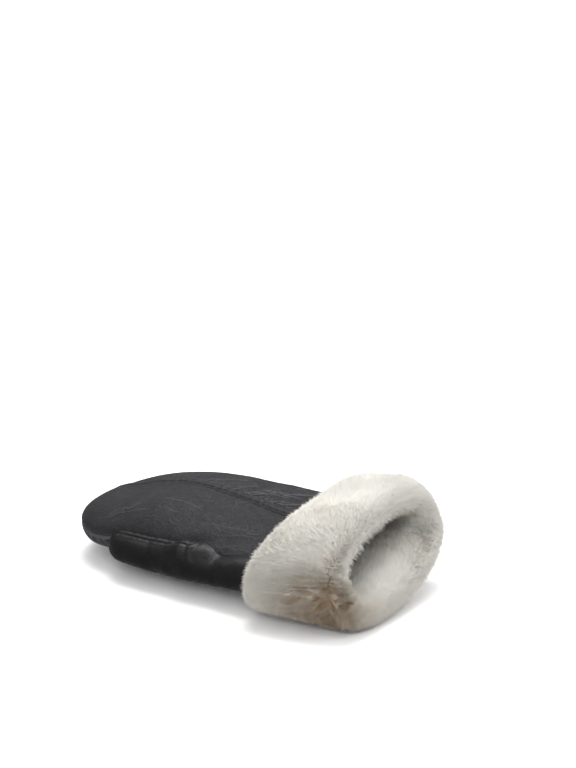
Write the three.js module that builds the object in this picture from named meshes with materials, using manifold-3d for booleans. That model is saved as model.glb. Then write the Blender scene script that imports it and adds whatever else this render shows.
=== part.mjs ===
// A right-hand sheepskin mitten that lies on its palm: leather outside, wool inside, and a deep cuff
// that is the same skin turned back, so that its wool shows.
// Lengths are in millimetres. X runs from the fingertips to the open mouth, Y from the thumb's side
// to the little finger's side, and Z up from the surface that the mitten lies on.
import * as THREE from "three";
import { mergeVertices } from "three/addons/utils/BufferGeometryUtils.js";
import Module from "manifold-3d";

// Driving sizes of the hand
const leatherShowing = 218; // fingertips to the edge of the turned cuff
const cuffLength = 70; // edge of the turned cuff to the rim of the mouth
const handWidth = 124;
const handHeight = 60;
const fingertipRound = 60; // length over which the outline rounds off at the fingertips
const fingertipBlunt = 26; // length over which the side view rounds off there

// Driving sizes of the thumb
const thumbTipSetback = 64; // fingertips to the thumb's tip
const thumbWidth = 35;
const thumbHeight = 28;
const thumbRound = 20;
const thumbBlunt = 14;
const crotchSetback = 150; // fingertips to the crotch between thumb and hand
const thumbSeamShift = 0.16; // how far out its seam runs from its middle line, as a share of thumbWidth

// Walls and clearances
const leatherWall = 2.2;
const woolPile = 7; // clipped wool inside the hand
const thumbPile = 4; // and inside the thumb
const cuffWool = 19; // longer wool of the turned cuff, with its skin
const seamGap = 0.5; // between two panels at a seam, and between any two pieces

// The welt at the back's long seam, where the edge of a panel is turned under and stitched down
const weltWidth = 6.5;
const weltRise = 1.1;
const weltFade = 30; // length over which the welt rises at the fingertips
const stripLimit = 0.3; // the seam's furthest place from the middle, as a share of the half width

// The cuff lies a little askew. The little finger's side reaches further along, by this share of Y, and
// the lower lip of the mouth reaches past the upper one, by this share of Z.
const cuffAskew = 0.1;
const lipSlope = 0.45;
const askewLength = 120; // length over which the shear sets in, before the cuff's edge

// The roundings of the cuff's wool
const cuffEdgeRound = 9; // at its edge over the leather
const crestFlat = 1.5; // half width of the flat top of the rim's roll

// How the wool breaks up into locks
const lockRelief = 1.6;
const locksAround = 15;
const lockLength = 17;

// Fineness of the facets
const capRings = 6;
const handRings = 12;
const thumbRings = 8;
const palmColumns = 18;
const outerColumns = 9;
const thumbSideColumns = 10;
const weltColumns = 3;
const hollowColumns = 26;
const thumbColumns = 18;
const cuffColumns = 45;
const cuffRings = 5;
const rollRings = 5;

// Sizes that follow from those above
const cuffMiddle = 0.7 * handHeight; // height at which the lips' slope moves nothing
const rimDepth = cuffWool; // wool past the leather's edge, at the rim
const leatherLength = leatherShowing + cuffLength - rimDepth;
const cuffEnd = leatherShowing + cuffLength;
const cuffThickness = seamGap + cuffWool;
const woolStart = leatherWall + seamGap; // from the leather's outer surface to the wool's own
const woolInside = woolStart + woolPile; // and to the hand's hollow
const crest = (cuffThickness - woolInside) / 2; // middle of the rim's roll
const overrun = 6; // how far a cutting solid passes what it cuts
const tipGapLimit = 0.4; // largest angle of a side seam's half gap, at the fingertips
const sideFullness = 0.92; // power of the cosine in a cross-section
const heightFullness = 0.8; // power of the sine, fuller than an ellipse

// Cross-sections of the hand, from the fingertips to the leather's edge inside the cuff. near and far are
// the half widths towards the thumb and the little finger, and strip the place of the back's long seam,
// as shares of handWidth. seam is the height of the side seam, back the rise of the back over it, palm
// the drop of the palm under it, and lean how much higher the far side lies than the near side, as
// shares of handHeight. tuck is the share of the palm's drop that the thumb takes up on its side.
const handSections = [
  { at: 0.0, near: 0.5, far: 0.5, strip: 0.03, seam: 0.48, back: 0.22, palm: 0.24, lean: 0.1, tuck: 0.0 },
  { at: 0.15, near: 0.5, far: 0.5, strip: 0.08, seam: 0.56, back: 0.26, palm: 0.52, lean: 0.26, tuck: 0.3 },
  { at: 0.35, near: 0.49, far: 0.5, strip: 0.07, seam: 0.66, back: 0.33, palm: 0.7, lean: 0.28, tuck: 0.8 },
  { at: 0.55, near: 0.49, far: 0.5, strip: 0.02, seam: 0.68, back: 0.32, palm: 0.72, lean: 0.3, tuck: 0.85 },
  { at: 0.72, near: 0.49, far: 0.5, strip: -0.02, seam: 0.66, back: 0.28, palm: 0.55, lean: 0.34, tuck: 0.6 },
  { at: 0.86, near: 0.5, far: 0.5, strip: -0.03, seam: 0.68, back: 0.28, palm: 0.38, lean: 0.36, tuck: 0.2 },
  { at: 1.0, near: 0.5, far: 0.5, strip: -0.03, seam: 0.7, back: 0.31, palm: 0.35, lean: 0.36, tuck: 0.0 },
];

// Cross-sections of the thumb, from its tip to the leather's edge. across is the centre line's place
// towards the thumb's side, as a share of handWidth. height is its height, as a share of thumbHeight,
// half is the half width, as a share of thumbWidth, and up and down are shares of thumbHeight.
const thumbSections = [
  { at: 0.0, across: 0.47, height: 0.82, half: 0.46, up: 0.42, down: 0.42 },
  { at: 0.2, across: 0.475, height: 0.8, half: 0.5, up: 0.48, down: 0.48 },
  { at: 0.45, across: 0.465, height: 0.82, half: 0.5, up: 0.48, down: 0.5 },
  { at: 0.7, across: 0.45, height: 0.9, half: 0.5, up: 0.48, down: 0.5 },
  { at: 0.85, across: 0.42, height: 1.1, half: 0.5, up: 0.48, down: 0.5 },
  { at: 1.0, across: 0.36, height: 1.2, half: 0.5, up: 0.44, down: 0.44 },
];

// Broad folds and swellings of the soft skin. Each runs from one place to another along its form, where
// 0 is the form's start and 1 its end, and from fromTurn to toTurn degrees around the section, where 0 is
// the little finger's side, 90 the top of the back, 180 the thumb's side and 270 the palm. width is a
// share of the form's girth. depth is how far it sinks in, as a share of the form's thickness, and is
// negative for a swelling.
const handFolds = [
  { name: "knuckles", from: 0.2, to: 0.39, fromTurn: 110, toTurn: 120, width: 0.21, depth: -0.037 },
  { name: "beside the seam", from: 0.45, to: 0.81, fromTurn: 100, toTurn: 104, width: 0.105, depth: 0.04 },
  { name: "to the crotch", from: 0.56, to: 0.76, fromTurn: 165, toTurn: 128, width: 0.09, depth: 0.037 },
  { name: "little finger", from: 0.56, to: 0.74, fromTurn: 40, toTurn: 70, width: 0.1, depth: 0.033 },
  { name: "fingertips", from: 0.08, to: 0.18, fromTurn: 60, toTurn: 100, width: 0.1, depth: 0.027 },
];
const thumbFolds = [
  { name: "crotch hump", from: 0.38, to: 0.47, fromTurn: 110, toTurn: 90, width: 0.34, depth: -0.11 },
  { name: "behind the hump", from: 0.53, to: 0.58, fromTurn: 130, toTurn: 70, width: 0.34, depth: 0.093 },
  { name: "outer dent", from: 0.26, to: 0.32, fromTurn: 200, toTurn: 160, width: 0.31, depth: 0.064 },
];
const cuffFolds = [
  { name: "parting", from: 0.57, to: 0.94, fromTurn: 196, toTurn: 202, width: 0.09, depth: 0.32 },
  { name: "top hollow", from: 0.26, to: 0.63, fromTurn: 100, toTurn: 80, width: 0.145, depth: 0.13 },
];

const hand = {
  tip: 0,
  length: leatherLength,
  round: fingertipRound,
  blunt: fingertipBlunt,
  rings: handRings,
  columnsAt: (x) => handPanelColumns(x).all,
  folds: handFolds,
  girth: handWidth,
  thickness: handHeight,
  rows: handSections.map((row) => ({
    at: row.at,
    y: 0,
    z: row.seam * handHeight,
    near: row.near * handWidth,
    far: row.far * handWidth,
    strip: row.strip * handWidth,
    up: row.back * handHeight,
    down: row.palm * handHeight,
    lean: (row.lean * handHeight) / handWidth,
    tuck: row.tuck,
  })),
};

const thumb = {
  tip: thumbTipSetback,
  length: leatherLength - thumbTipSetback,
  round: thumbRound,
  blunt: thumbBlunt,
  rings: thumbRings,
  columnsAt: () => plainColumns(thumbColumns),
  folds: thumbFolds,
  girth: thumbWidth,
  thickness: thumbHeight,
  rows: thumbSections.map((row) => ({
    at: row.at,
    y: -row.across * handWidth,
    z: row.height * thumbHeight,
    near: row.half * thumbWidth,
    far: row.half * thumbWidth,
    up: row.up * thumbHeight,
    down: row.down * thumbHeight,
    lean: 0,
    tuck: 0,
  })),
};

const cuff = {
  tip: leatherShowing,
  length: cuffLength,
  folds: cuffFolds,
  girth: handWidth,
  thickness: cuffWool,
};

const wasm = await Module();
wasm.setup();

// The row of a form's table at x, on a smooth curve through the rows.
function rowAt(form, x) {
  const rows = form.rows;
  const last = rows.length - 1;
  const place = THREE.MathUtils.clamp((x - form.tip) / form.length, 0, 1);
  let i = 0;
  while (i < last - 1 && place > rows[i + 1].at) i += 1;
  const span = rows[i + 1].at - rows[i].at;
  const t = (place - rows[i].at) / span;
  const slope = (key, j) => {
    const before = rows[Math.max(j - 1, 0)];
    const after = rows[Math.min(j + 1, last)];
    return ((after[key] - before[key]) / (after.at - before.at)) * span;
  };
  const row = {};
  for (const key of Object.keys(rows[0])) {
    const ease = t * t * (3 - 2 * t);
    row[key] = rows[i][key] + (rows[i + 1][key] - rows[i][key]) * ease;
    row[key] += slope(key, i) * t * (1 - t) ** 2 - slope(key, i + 1) * t * t * (1 - t);
  }
  return row;
}

// How far a rounded end has opened: 0 at its tip and 1 once past its length.
function roundedEnd(distance, length) {
  const rest = 1 - THREE.MathUtils.clamp(distance / length, 0, 1);
  return Math.sqrt(1 - rest * rest);
}

function signedPower(value, power) {
  return Math.sign(value) * Math.abs(value) ** power;
}

// How deep the folds sink the skin at a place on a form.
function foldDepth(form, x, angle) {
  const turn = THREE.MathUtils.euclideanModulo(THREE.MathUtils.radToDeg(angle), 360);
  const perDegree = form.girth / 120; // length along the skin, as a section is about three girths around
  let depth = 0;
  for (const fold of form.folds) {
    const runX = (fold.to - fold.from) * form.length;
    const runY = (fold.toTurn - fold.fromTurn) * perDegree;
    const awayX = x - form.tip - fold.from * form.length;
    const awayY = (turn - fold.fromTurn) * perDegree;
    const share = (awayX * runX + awayY * runY) / (runX * runX + runY * runY);
    const along = THREE.MathUtils.clamp(share, 0, 1);
    const distance = Math.hypot(awayX - along * runX, awayY - along * runY);
    depth += fold.depth * form.thickness * Math.exp(-((distance / (fold.width * form.girth)) ** 2));
  }
  return depth;
}

// A point on a cross-section, at an angle that runs from the little finger's side over the back. inset
// moves it in from the outer surface or, where that is negative, out. Where the skin would sink into the
// surface that the mitten lies on, it is pressed flat.
function sectionPoint(row, x, angle, inset, fold = 0, wide = 1, tall = 1) {
  const half = ((Math.cos(angle) < 0 ? row.near : row.far) - inset - fold) * wide;
  const height = ((Math.sin(angle) < 0 ? row.down : row.up) - inset - fold) * tall;
  const across = half * signedPower(Math.cos(angle), sideFullness);
  const underThumb = Math.sin(angle) < 0 ? Math.max(-Math.cos(angle), 0) : 0;
  const pressed = 1 - row.tuck * underThumb;
  const rise = pressed * height * signedPower(Math.sin(angle), heightFullness) + row.lean * across;
  return [x, row.y + across, Math.max(row.z + rise, inset, -seamGap)];
}

// A point on a form's surface, moved in by inset.
function surfacePoint(form, x, angle, inset) {
  const distance = x - form.tip - inset;
  const wide = roundedEnd(distance, form.round - inset);
  const tall = roundedEnd(distance, form.blunt - inset);
  const fold = foldDepth(form, x, angle);
  return sectionPoint(rowAt(form, x), x, angle, inset, fold, wide, tall);
}

// The same for a column, which may rise over the skin. The inside of the skin doesn't follow the rise.
function columnPoint(form, x, { angle, rise }, inset) {
  return surfacePoint(form, x, angle, inset > 0 ? inset : inset - rise);
}

// Where the rings of a form stand. They are closer together at the rounded tip.
function ringStations(form, inset, extra = 0) {
  const stations = [];
  for (let i = 1; i <= capRings; i += 1) {
    const angle = (Math.PI / 2) * (i / capRings);
    stations.push(form.tip + inset + (form.round - inset) * (1 - Math.cos(angle)));
  }
  const straight = leatherLength - form.tip - form.round;
  for (let i = 1; i <= form.rings; i += 1) {
    stations.push(form.tip + form.round + (straight * i) / form.rings);
  }
  if (extra > 0) stations.push(leatherLength + extra);
  return stations;
}

function tipPoint(form, inset) {
  const row = rowAt(form, form.tip);
  return [form.tip + inset, row.y, row.z];
}

function solidFrom(positions, indices) {
  return new wasm.Manifold(
    new wasm.Mesh({
      numProp: 3,
      vertProperties: new Float32Array(positions),
      triVerts: new Uint32Array(indices),
    }),
  );
}

function fullTurn(count) {
  return Array.from({ length: count }, (_, k) => (2 * Math.PI * k) / count);
}

function plainColumns(count) {
  return fullTurn(count).map((angle) => ({ angle, rise: 0 }));
}

// A closed solid through rings of points that run towards +X, with a fan at each end.
function loft(rings, startPoint, endPoint) {
  const count = rings[0].length;
  const points = [startPoint, ...rings.flat(), endPoint];
  const endIndex = points.length - 1;
  const at = (r, k) => 1 + r * count + (k % count);
  const faces = [];
  for (let k = 0; k < count; k += 1) {
    faces.push(0, at(0, k + 1), at(0, k));
    faces.push(endIndex, at(rings.length - 1, k), at(rings.length - 1, k + 1));
    for (let r = 0; r < rings.length - 1; r += 1) {
      faces.push(at(r, k), at(r, k + 1), at(r + 1, k + 1));
      faces.push(at(r, k), at(r + 1, k + 1), at(r + 1, k));
    }
  }
  return solidFrom(points.flat(), faces);
}

// A form as a closed sock, moved in by inset. extra carries its open end past the leather's edge, for a
// sock that cuts, and columnsAt may give other columns than the form's own.
function sock(form, inset, extra = 0, columnsAt = form.columnsAt) {
  const stations = ringStations(form, inset, extra);
  const rings = stations.map((x) => columnsAt(x).map((c) => columnPoint(form, x, c, inset)));
  const endX = stations[stations.length - 1];
  const endRow = rowAt(form, endX);
  return loft(rings, tipPoint(form, inset), [endX, endRow.y, endRow.z]);
}

// A panel of the hand's skin, by its name among the hand's columns. tipShift holds the panel's tip off
// its neighbours' tips.
function handPanel(name, tipShift) {
  const side = (inset) => {
    const rings = ringStations(hand, inset).map((x) => {
      return handPanelColumns(x)[name].map((column) => columnPoint(hand, x, column, inset));
    });
    const [x, y, z] = tipPoint(hand, inset);
    return { rings, tip: [x, y + tipShift.y, z + tipShift.z] };
  };
  const outer = side(0);
  const inner = side(leatherWall);
  const count = outer.rings[0].length;
  const ringCount = outer.rings.length;
  const sideSize = 1 + ringCount * count;
  const points = [outer.tip, ...outer.rings.flat(), inner.tip, ...inner.rings.flat()];
  const at = (r, k) => (r < 0 ? 0 : 1 + r * count + k);
  const faces = [];
  const quad = (a, b, c, d) => faces.push(a, b, c, a, c, d);
  for (let k = 0; k < count - 1; k += 1) {
    faces.push(0, at(0, k + 1), at(0, k));
    faces.push(sideSize, sideSize + at(0, k), sideSize + at(0, k + 1));
    for (let r = 0; r < ringCount - 1; r += 1) {
      quad(at(r, k), at(r, k + 1), at(r + 1, k + 1), at(r + 1, k));
      quad(
        sideSize + at(r, k),
        sideSize + at(r + 1, k),
        sideSize + at(r + 1, k + 1),
        sideSize + at(r, k + 1),
      );
    }
    const r = ringCount - 1;
    quad(at(r, k), at(r, k + 1), sideSize + at(r, k + 1), sideSize + at(r, k));
  }
  const edge = (k, turned) => {
    for (let r = -1; r < ringCount - 1; r += 1) {
      const [a, b, c, d] = [at(r, k), at(r + 1, k), sideSize + at(r + 1, k), sideSize + at(r, k)];
      if (turned) quad(a, d, c, b);
      else quad(a, b, c, d);
    }
  };
  edge(0, false);
  edge(count - 1, true);
  return solidFrom(points.flat(), faces);
}

// The half width that the hand has at x, with its rounded tip.
function halfWidthAt(x) {
  return rowAt(hand, x).far * roundedEnd(x, hand.round);
}

// The angle that a length along the skin takes up at x, near the middle of the back.
function angleOf(length, x) {
  return length / Math.max(halfWidthAt(x), length);
}

// The side seams run along the widest line of the hand. Their half gap is an angle there, with a limit
// for the narrow tip.
function sideGapAngle(x) {
  const row = rowAt(hand, x);
  const open = roundedEnd(x, hand.blunt);
  const height = Math.max(Math.min(row.up, row.down) * open, seamGap);
  return Math.min((seamGap / 2 / height) ** (1 / heightFullness), tipGapLimit);
}

// The angle at which the back's long seam runs at x.
function backSeamAngle(x) {
  const share = rowAt(hand, x).strip / halfWidthAt(Math.max(x, seamGap));
  return Math.acos(signedPower(THREE.MathUtils.clamp(share, -stripLimit, stripLimit), 1 / sideFullness));
}

// Angles spread evenly from one edge of a panel to the other.
function spread(from, to, count, rise = 0) {
  return Array.from({ length: count }, (_, k) => ({
    angle: from + ((to - from) * k) / (count - 1),
    rise,
  }));
}

// The columns of the hand's three panels at x, each as an angle and a rise over the skin, and all of
// them in one turn. The wider half of the back has its edge turned under at the seam and stitched down,
// so it stands up as a welt.
function handPanelColumns(x) {
  const side = sideGapAngle(x);
  const strip = backSeamAngle(x);
  const halfGap = angleOf(seamGap / 2, x);
  const weltEnd = strip + halfGap + angleOf(weltWidth, x);
  const weltFoot = weltEnd + angleOf(weltRise, x);
  const outer = spread(side, strip - halfGap, outerColumns);
  const rise = weltRise * Math.min(x / weltFade, 1);
  const welt = spread(strip + halfGap, weltEnd, weltColumns, rise);
  const thumbSide = [...welt, ...spread(weltFoot, Math.PI - side, thumbSideColumns)];
  const palm = spread(Math.PI + side, 2 * Math.PI - side, palmColumns);
  return { outer, thumbSide, palm, all: [...outer, ...thumbSide, ...palm] };
}

// A closed prism of an outline in X and Y, for cutting.
function prism(outline, from, to) {
  const shape = new THREE.Shape(outline.map(([x, y]) => new THREE.Vector2(x, y)));
  const geometry = new THREE.ExtrudeGeometry(shape, { depth: to - from, bevelEnabled: false });
  geometry.translate(0, 0, from);
  geometry.deleteAttribute("normal");
  geometry.deleteAttribute("uv");
  const merged = mergeVertices(geometry, 1e-4);
  return solidFrom(merged.attributes.position.array, merged.index.array);
}

// Everything on the fingertips' side of x, for cutting.
function before(x) {
  const side = 2 * handWidth;
  const outline = [
    [-overrun, -side],
    [x, -side],
    [x, side],
    [-overrun, side],
  ];
  return prism(outline, -overrun, 3 * handHeight);
}

// The thumb moved in by inset. Up to the crotch it lies against the hand and gives way to it.
function thumbVolume(inset, extra = 0) {
  const clear = seamGap + inset;
  const besideHand = sock(hand, -clear).intersect(before(crotchSetback + clear));
  return sock(thumb, inset, extra).subtract(besideHand);
}

// The space on the hand's side of the thumb's seam, which runs over the top of the thumb to the crotch.
// shift moves the seam to one side or the other.
function thumbInnerSpace(shift) {
  const steps = 12;
  const start = thumbTipSetback - overrun;
  const end = crotchSetback + shift;
  const curve = Array.from({ length: steps }, (_, i) => {
    const x = start + ((end - start) * i) / (steps - 1);
    return [x, rowAt(thumb, x).y - thumbSeamShift * thumbWidth - shift];
  });
  const outline = [...curve, [end, handWidth], [start, handWidth]];
  return prism(outline, -overrun, 2 * thumbHeight);
}

// The thumb's skin, up to where it meets the hand's and the leather's edge.
function thumbShell() {
  const inside = thumbVolume(leatherWall, overrun);
  return thumbVolume(0).subtract(inside).subtract(sock(hand, -seamGap, overrun));
}

// The hole through which the thumb opens into the hand.
function thumbHole() {
  const whole = sock(thumb, leatherWall, overrun);
  return whole.subtract(before(crotchSetback + seamGap + leatherWall));
}

// The hollow of the thumb, which opens into the hand's.
function thumbHollow() {
  return thumbVolume(woolStart + thumbPile, overrun);
}

// The wool inside the hand, up to the leather's edge.
function handWool() {
  const hollow = sock(hand, woolStart + woolPile, overrun, () => plainColumns(hollowColumns));
  return sock(hand, woolStart).subtract(hollow).subtract(thumbHollow());
}

// The wool inside the thumb, up to where it meets the hand's.
function thumbWool() {
  const besideHand = sock(hand, woolStart - seamGap, overrun);
  return thumbVolume(woolStart).subtract(besideHand).subtract(thumbHollow());
}

// The hand and the root of the thumb as one cross-section, which the cuff goes around.
function cuffCore(x) {
  const row = rowAt(hand, Math.min(x, leatherLength));
  const root = rowAt(thumb, Math.min(x, leatherLength));
  return { ...row, near: Math.max(row.near, root.near - root.y) };
}

// Everything inside the cuff, grown by clear: the hand and the thumb up to the leather's edge.
function insideCuff(clear) {
  return sock(hand, -clear, clear).add(sock(thumb, -clear, clear));
}

// Height of the locks over the wool's mean surface.
function lockHeight(along, angle) {
  const row = Math.floor(along / lockLength);
  const part = along / lockLength - row;
  const around = (angle * locksAround) / (2 * Math.PI) + (row % 2) / 2;
  const across = Math.abs(2 * (around - Math.floor(around)) - 1);
  return lockRelief * (Math.sin(Math.PI * part) * (1 - across) - 0.3);
}

function rollStations() {
  const from = cuffEnd - rimDepth;
  return Array.from({ length: rollRings + 1 }, (_, i) => {
    return from + rimDepth * Math.sin((Math.PI / 2) * (i / rollRings));
  });
}

// The outer form of the cuff's wool, from its edge over the leather to the rim.
function cuffOutside() {
  const stations = [];
  for (let i = 0; i <= 3; i += 1) {
    stations.push(leatherShowing + cuffEdgeRound * (1 - Math.cos((Math.PI / 2) * (i / 3))));
  }
  const straight = cuffLength - cuffEdgeRound - rimDepth;
  for (let i = 1; i < cuffRings; i += 1) {
    stations.push(leatherShowing + cuffEdgeRound + (straight * i) / cuffRings);
  }
  stations.push(...rollStations());
  const rings = stations.map((x) => {
    const atEdge = roundedEnd(x - leatherShowing, cuffEdgeRound);
    const atRim = roundedEnd(cuffEnd - x, rimDepth);
    const low = x > cuffEnd - rimDepth ? crest + crestFlat : cuffThickness / 3;
    const out = low + (cuffThickness - low) * atEdge * atRim;
    return fullTurn(cuffColumns).map((angle) => {
      const lock = atEdge * atRim * lockHeight(x - leatherShowing, angle);
      const fold = atEdge * foldDepth(cuff, x, angle);
      const [, y, z] = sectionPoint(cuffCore(x), x, angle, -out - lock, fold);
      return [x, y, Math.max(z, 0)];
    });
  });
  const start = rowAt(hand, leatherShowing);
  const end = rowAt(hand, leatherLength);
  return loft(rings, [leatherShowing, start.y, start.z], [cuffEnd, end.y, end.z]);
}

// The mouth, which flares over the rim's roll.
function mouthSpace() {
  const row = rowAt(hand, leatherLength);
  const angles = fullTurn(hollowColumns);
  const ringAt = (x, inset) => angles.map((angle) => sectionPoint(row, x, angle, inset));
  const lip = crest - crestFlat;
  const rings = rollStations().map((x) => {
    const flare = 1 - roundedEnd(cuffEnd - x, rimDepth);
    return ringAt(x, woolInside - (woolInside + lip) * flare);
  });
  const from = cuffEnd - rimDepth - overrun;
  const to = cuffEnd + overrun;
  const all = [ringAt(from, woolInside), ...rings, ringAt(to, -lip)];
  return loft(all, [from, row.y, row.z], [to, row.y, row.z]);
}

// The wool of the turned cuff, rolled over at the rim.
function turnedCuff() {
  return cuffOutside().subtract(insideCuff(seamGap)).subtract(mouthSpace());
}

const blackLeather = new THREE.MeshStandardMaterial({
  color: new THREE.Color(0.075, 0.075, 0.08),
  roughness: 0.55,
  metalness: 0,
});
const creamWool = new THREE.MeshStandardMaterial({
  color: new THREE.Color(0.8, 0.77, 0.71),
  roughness: 0.95,
  metalness: 0,
});

// Shears a point near the cuff end, along the mitten.
function askew(point) {
  const start = leatherShowing - askewLength;
  const atEdge = THREE.MathUtils.smoothstep(point[0], start, leatherShowing);
  const atRim = THREE.MathUtils.smoothstep(point[0], leatherShowing, cuffEnd);
  point[0] += point[1] * cuffAskew * atEdge - (point[2] - cuffMiddle) * lipSlope * atRim;
}

function piece(name, solid, material) {
  const made = solid.warp(askew).getMesh();
  const geometry = new THREE.BufferGeometry();
  geometry.setAttribute("position", new THREE.BufferAttribute(made.vertProperties, 3));
  geometry.setIndex(new THREE.BufferAttribute(made.triVerts, 1));
  geometry.computeVertexNormals();
  const mesh = new THREE.Mesh(geometry, material);
  mesh.name = name;
  return mesh;
}

// The hand's panels. The thumb's hole takes a piece out of the palm and out of the edge of the back.
const palm = handPanel("palm", { y: 0, z: -seamGap / 2 }).subtract(thumbHole());
const backOuter = handPanel("outer", { y: 2 * seamGap, z: seamGap / 2 });
const backThumbSide = handPanel("thumbSide", { y: -2 * seamGap, z: seamGap / 2 }).subtract(thumbHole());

// The thumb's two panels, on the two sides of its seam.
const thumbSkin = thumbShell();
const thumbInner = thumbSkin.intersect(thumbInnerSpace(-seamGap / 2));
const thumbOuter = thumbSkin.subtract(thumbInnerSpace(seamGap / 2));

const mitten = new THREE.Group();
mitten.name = "mitten";
mitten.add(piece("palm_panel", palm, blackLeather));
mitten.add(piece("back_panel_outer", backOuter, blackLeather));
mitten.add(piece("back_panel_thumb_side", backThumbSide, blackLeather));
mitten.add(piece("thumb_panel_inner", thumbInner, blackLeather));
mitten.add(piece("thumb_panel_outer", thumbOuter, blackLeather));
mitten.add(piece("wool_lining", handWool(), creamWool));
mitten.add(piece("thumb_lining", thumbWool(), creamWool));
mitten.add(piece("turned_cuff", turnedCuff(), creamWool));

// The origin is under the middle of the whole mitten, on the surface that it lies on.
const extent = new THREE.Box3().setFromObject(mitten, true);
const middle = extent.getCenter(new THREE.Vector3());
mitten.position.set(-middle.x, -middle.y, 0);

export default mitten;
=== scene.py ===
import math

import bmesh
import bpy
import numpy as np
from mathutils import Matrix, Vector


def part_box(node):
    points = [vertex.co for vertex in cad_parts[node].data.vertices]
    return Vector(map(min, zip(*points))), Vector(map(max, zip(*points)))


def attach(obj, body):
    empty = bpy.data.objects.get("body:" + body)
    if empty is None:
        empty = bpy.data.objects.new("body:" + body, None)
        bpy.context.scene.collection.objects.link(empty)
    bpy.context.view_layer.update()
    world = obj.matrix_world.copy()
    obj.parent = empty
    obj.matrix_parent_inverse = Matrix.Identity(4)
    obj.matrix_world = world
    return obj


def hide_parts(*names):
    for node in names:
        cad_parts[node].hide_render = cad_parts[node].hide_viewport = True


# A right-hand sheepskin mitten that lies on its palm. The shape functions work in millimetres in the
# mitten's own frame: X from the fingertips to the mouth, Y from the thumb's side to the little finger's
# side, Z up. Blender's objects are in metres, in the row frame.
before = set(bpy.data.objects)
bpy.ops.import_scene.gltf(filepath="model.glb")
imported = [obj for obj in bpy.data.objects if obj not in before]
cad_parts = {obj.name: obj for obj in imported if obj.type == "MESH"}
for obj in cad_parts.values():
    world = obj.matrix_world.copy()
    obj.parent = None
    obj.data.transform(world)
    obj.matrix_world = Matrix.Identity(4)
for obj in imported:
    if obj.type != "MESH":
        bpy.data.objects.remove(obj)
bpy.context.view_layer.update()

# Driving sizes of the solids, in millimetres, with shares and slopes among them
LEATHER_SHOWING = 218.0
CUFF_LENGTH = 70.0
HAND_WIDTH = 124.0
HAND_HEIGHT = 60.0
FINGERTIP_ROUND = 60.0
FINGERTIP_BLUNT = 26.0
THUMB_TIP_SETBACK = 64.0
THUMB_WIDTH = 35.0
THUMB_HEIGHT = 28.0
THUMB_ROUND = 20.0
THUMB_BLUNT = 14.0
CROTCH_SETBACK = 150.0
THUMB_SEAM_SHIFT = 0.16
LEATHER_WALL = 2.2
WOOL_PILE = 7.0
CUFF_WOOL = 19.0
SEAM_GAP = 0.5
STRIP_LIMIT = 0.3
CUFF_ASKEW = 0.1
LIP_SLOPE = 0.45
ASKEW_LENGTH = 120.0
CUFF_EDGE_ROUND = 9.0
CREST_FLAT = 1.5

# Sizes that follow from those above
CUFF_MIDDLE = 0.7 * HAND_HEIGHT
RIM_DEPTH = CUFF_WOOL
CUFF_END = LEATHER_SHOWING + CUFF_LENGTH
LEATHER_LENGTH = CUFF_END - RIM_DEPTH
CUFF_THICKNESS = SEAM_GAP + CUFF_WOOL
WOOL_INSIDE = LEATHER_WALL + SEAM_GAP + WOOL_PILE
CREST = (CUFF_THICKNESS - WOOL_INSIDE) / 2

# Powers that set how full the cross-sections are, the seam gap's largest angle at the tip, and how far
# cutting solids run past what they cut
SIDE_FULLNESS = 0.92
HEIGHT_FULLNESS = 0.8
TIP_GAP_LIMIT = 0.4
OVERRUN = 6.0
# Turning this far around a form leads about one width along its skin
DEGREES_PER_WIDTH = 120

# Cross-sections of the hand and of the thumb, as shares of the sizes above
HAND_COLUMNS = ("at", "near", "far", "strip", "seam", "back", "palm", "lean", "tuck")
HAND_SECTIONS = (
    (0.0, 0.5, 0.5, 0.03, 0.48, 0.22, 0.24, 0.1, 0.0),
    (0.15, 0.5, 0.5, 0.08, 0.56, 0.26, 0.52, 0.26, 0.3),
    (0.35, 0.49, 0.5, 0.07, 0.66, 0.33, 0.7, 0.28, 0.8),
    (0.55, 0.49, 0.5, 0.02, 0.68, 0.32, 0.72, 0.3, 0.85),
    (0.72, 0.49, 0.5, -0.02, 0.66, 0.28, 0.55, 0.34, 0.6),
    (0.86, 0.5, 0.5, -0.03, 0.68, 0.28, 0.38, 0.36, 0.2),
    (1.0, 0.5, 0.5, -0.03, 0.7, 0.31, 0.35, 0.36, 0.0),
)
THUMB_COLUMNS = ("at", "across", "height", "half", "up", "down")
THUMB_SECTIONS = (
    (0.0, 0.47, 0.82, 0.46, 0.42, 0.42),
    (0.2, 0.475, 0.8, 0.5, 0.48, 0.48),
    (0.45, 0.465, 0.82, 0.5, 0.48, 0.5),
    (0.7, 0.45, 0.9, 0.5, 0.48, 0.5),
    (0.85, 0.42, 1.1, 0.5, 0.48, 0.5),
    (1.0, 0.36, 1.2, 0.5, 0.44, 0.44),
)

# Broad folds: from, to (shares of the form), from turn, to turn (degrees), width (share of the form's
# girth) and depth (share of its thickness, negative for a swelling)
HAND_FOLDS = (
    (0.2, 0.39, 110, 120, 0.21, -0.037),
    (0.45, 0.81, 100, 104, 0.105, 0.04),
    (0.56, 0.76, 165, 128, 0.09, 0.037),
    (0.56, 0.74, 40, 70, 0.1, 0.033),
    (0.08, 0.18, 60, 100, 0.1, 0.027),
)
THUMB_FOLDS = (
    (0.38, 0.47, 110, 90, 0.34, -0.11),
    (0.53, 0.58, 130, 70, 0.34, 0.093),
    (0.26, 0.32, 200, 160, 0.31, 0.064),
)
CUFF_FOLDS = ((0.26, 0.63, 100, 80, 0.145, 0.13),)


def table(columns, rows):
    """A table's columns as arrays, by name."""
    return {name: np.array(values) for name, values in zip(columns, zip(*rows))}


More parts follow.
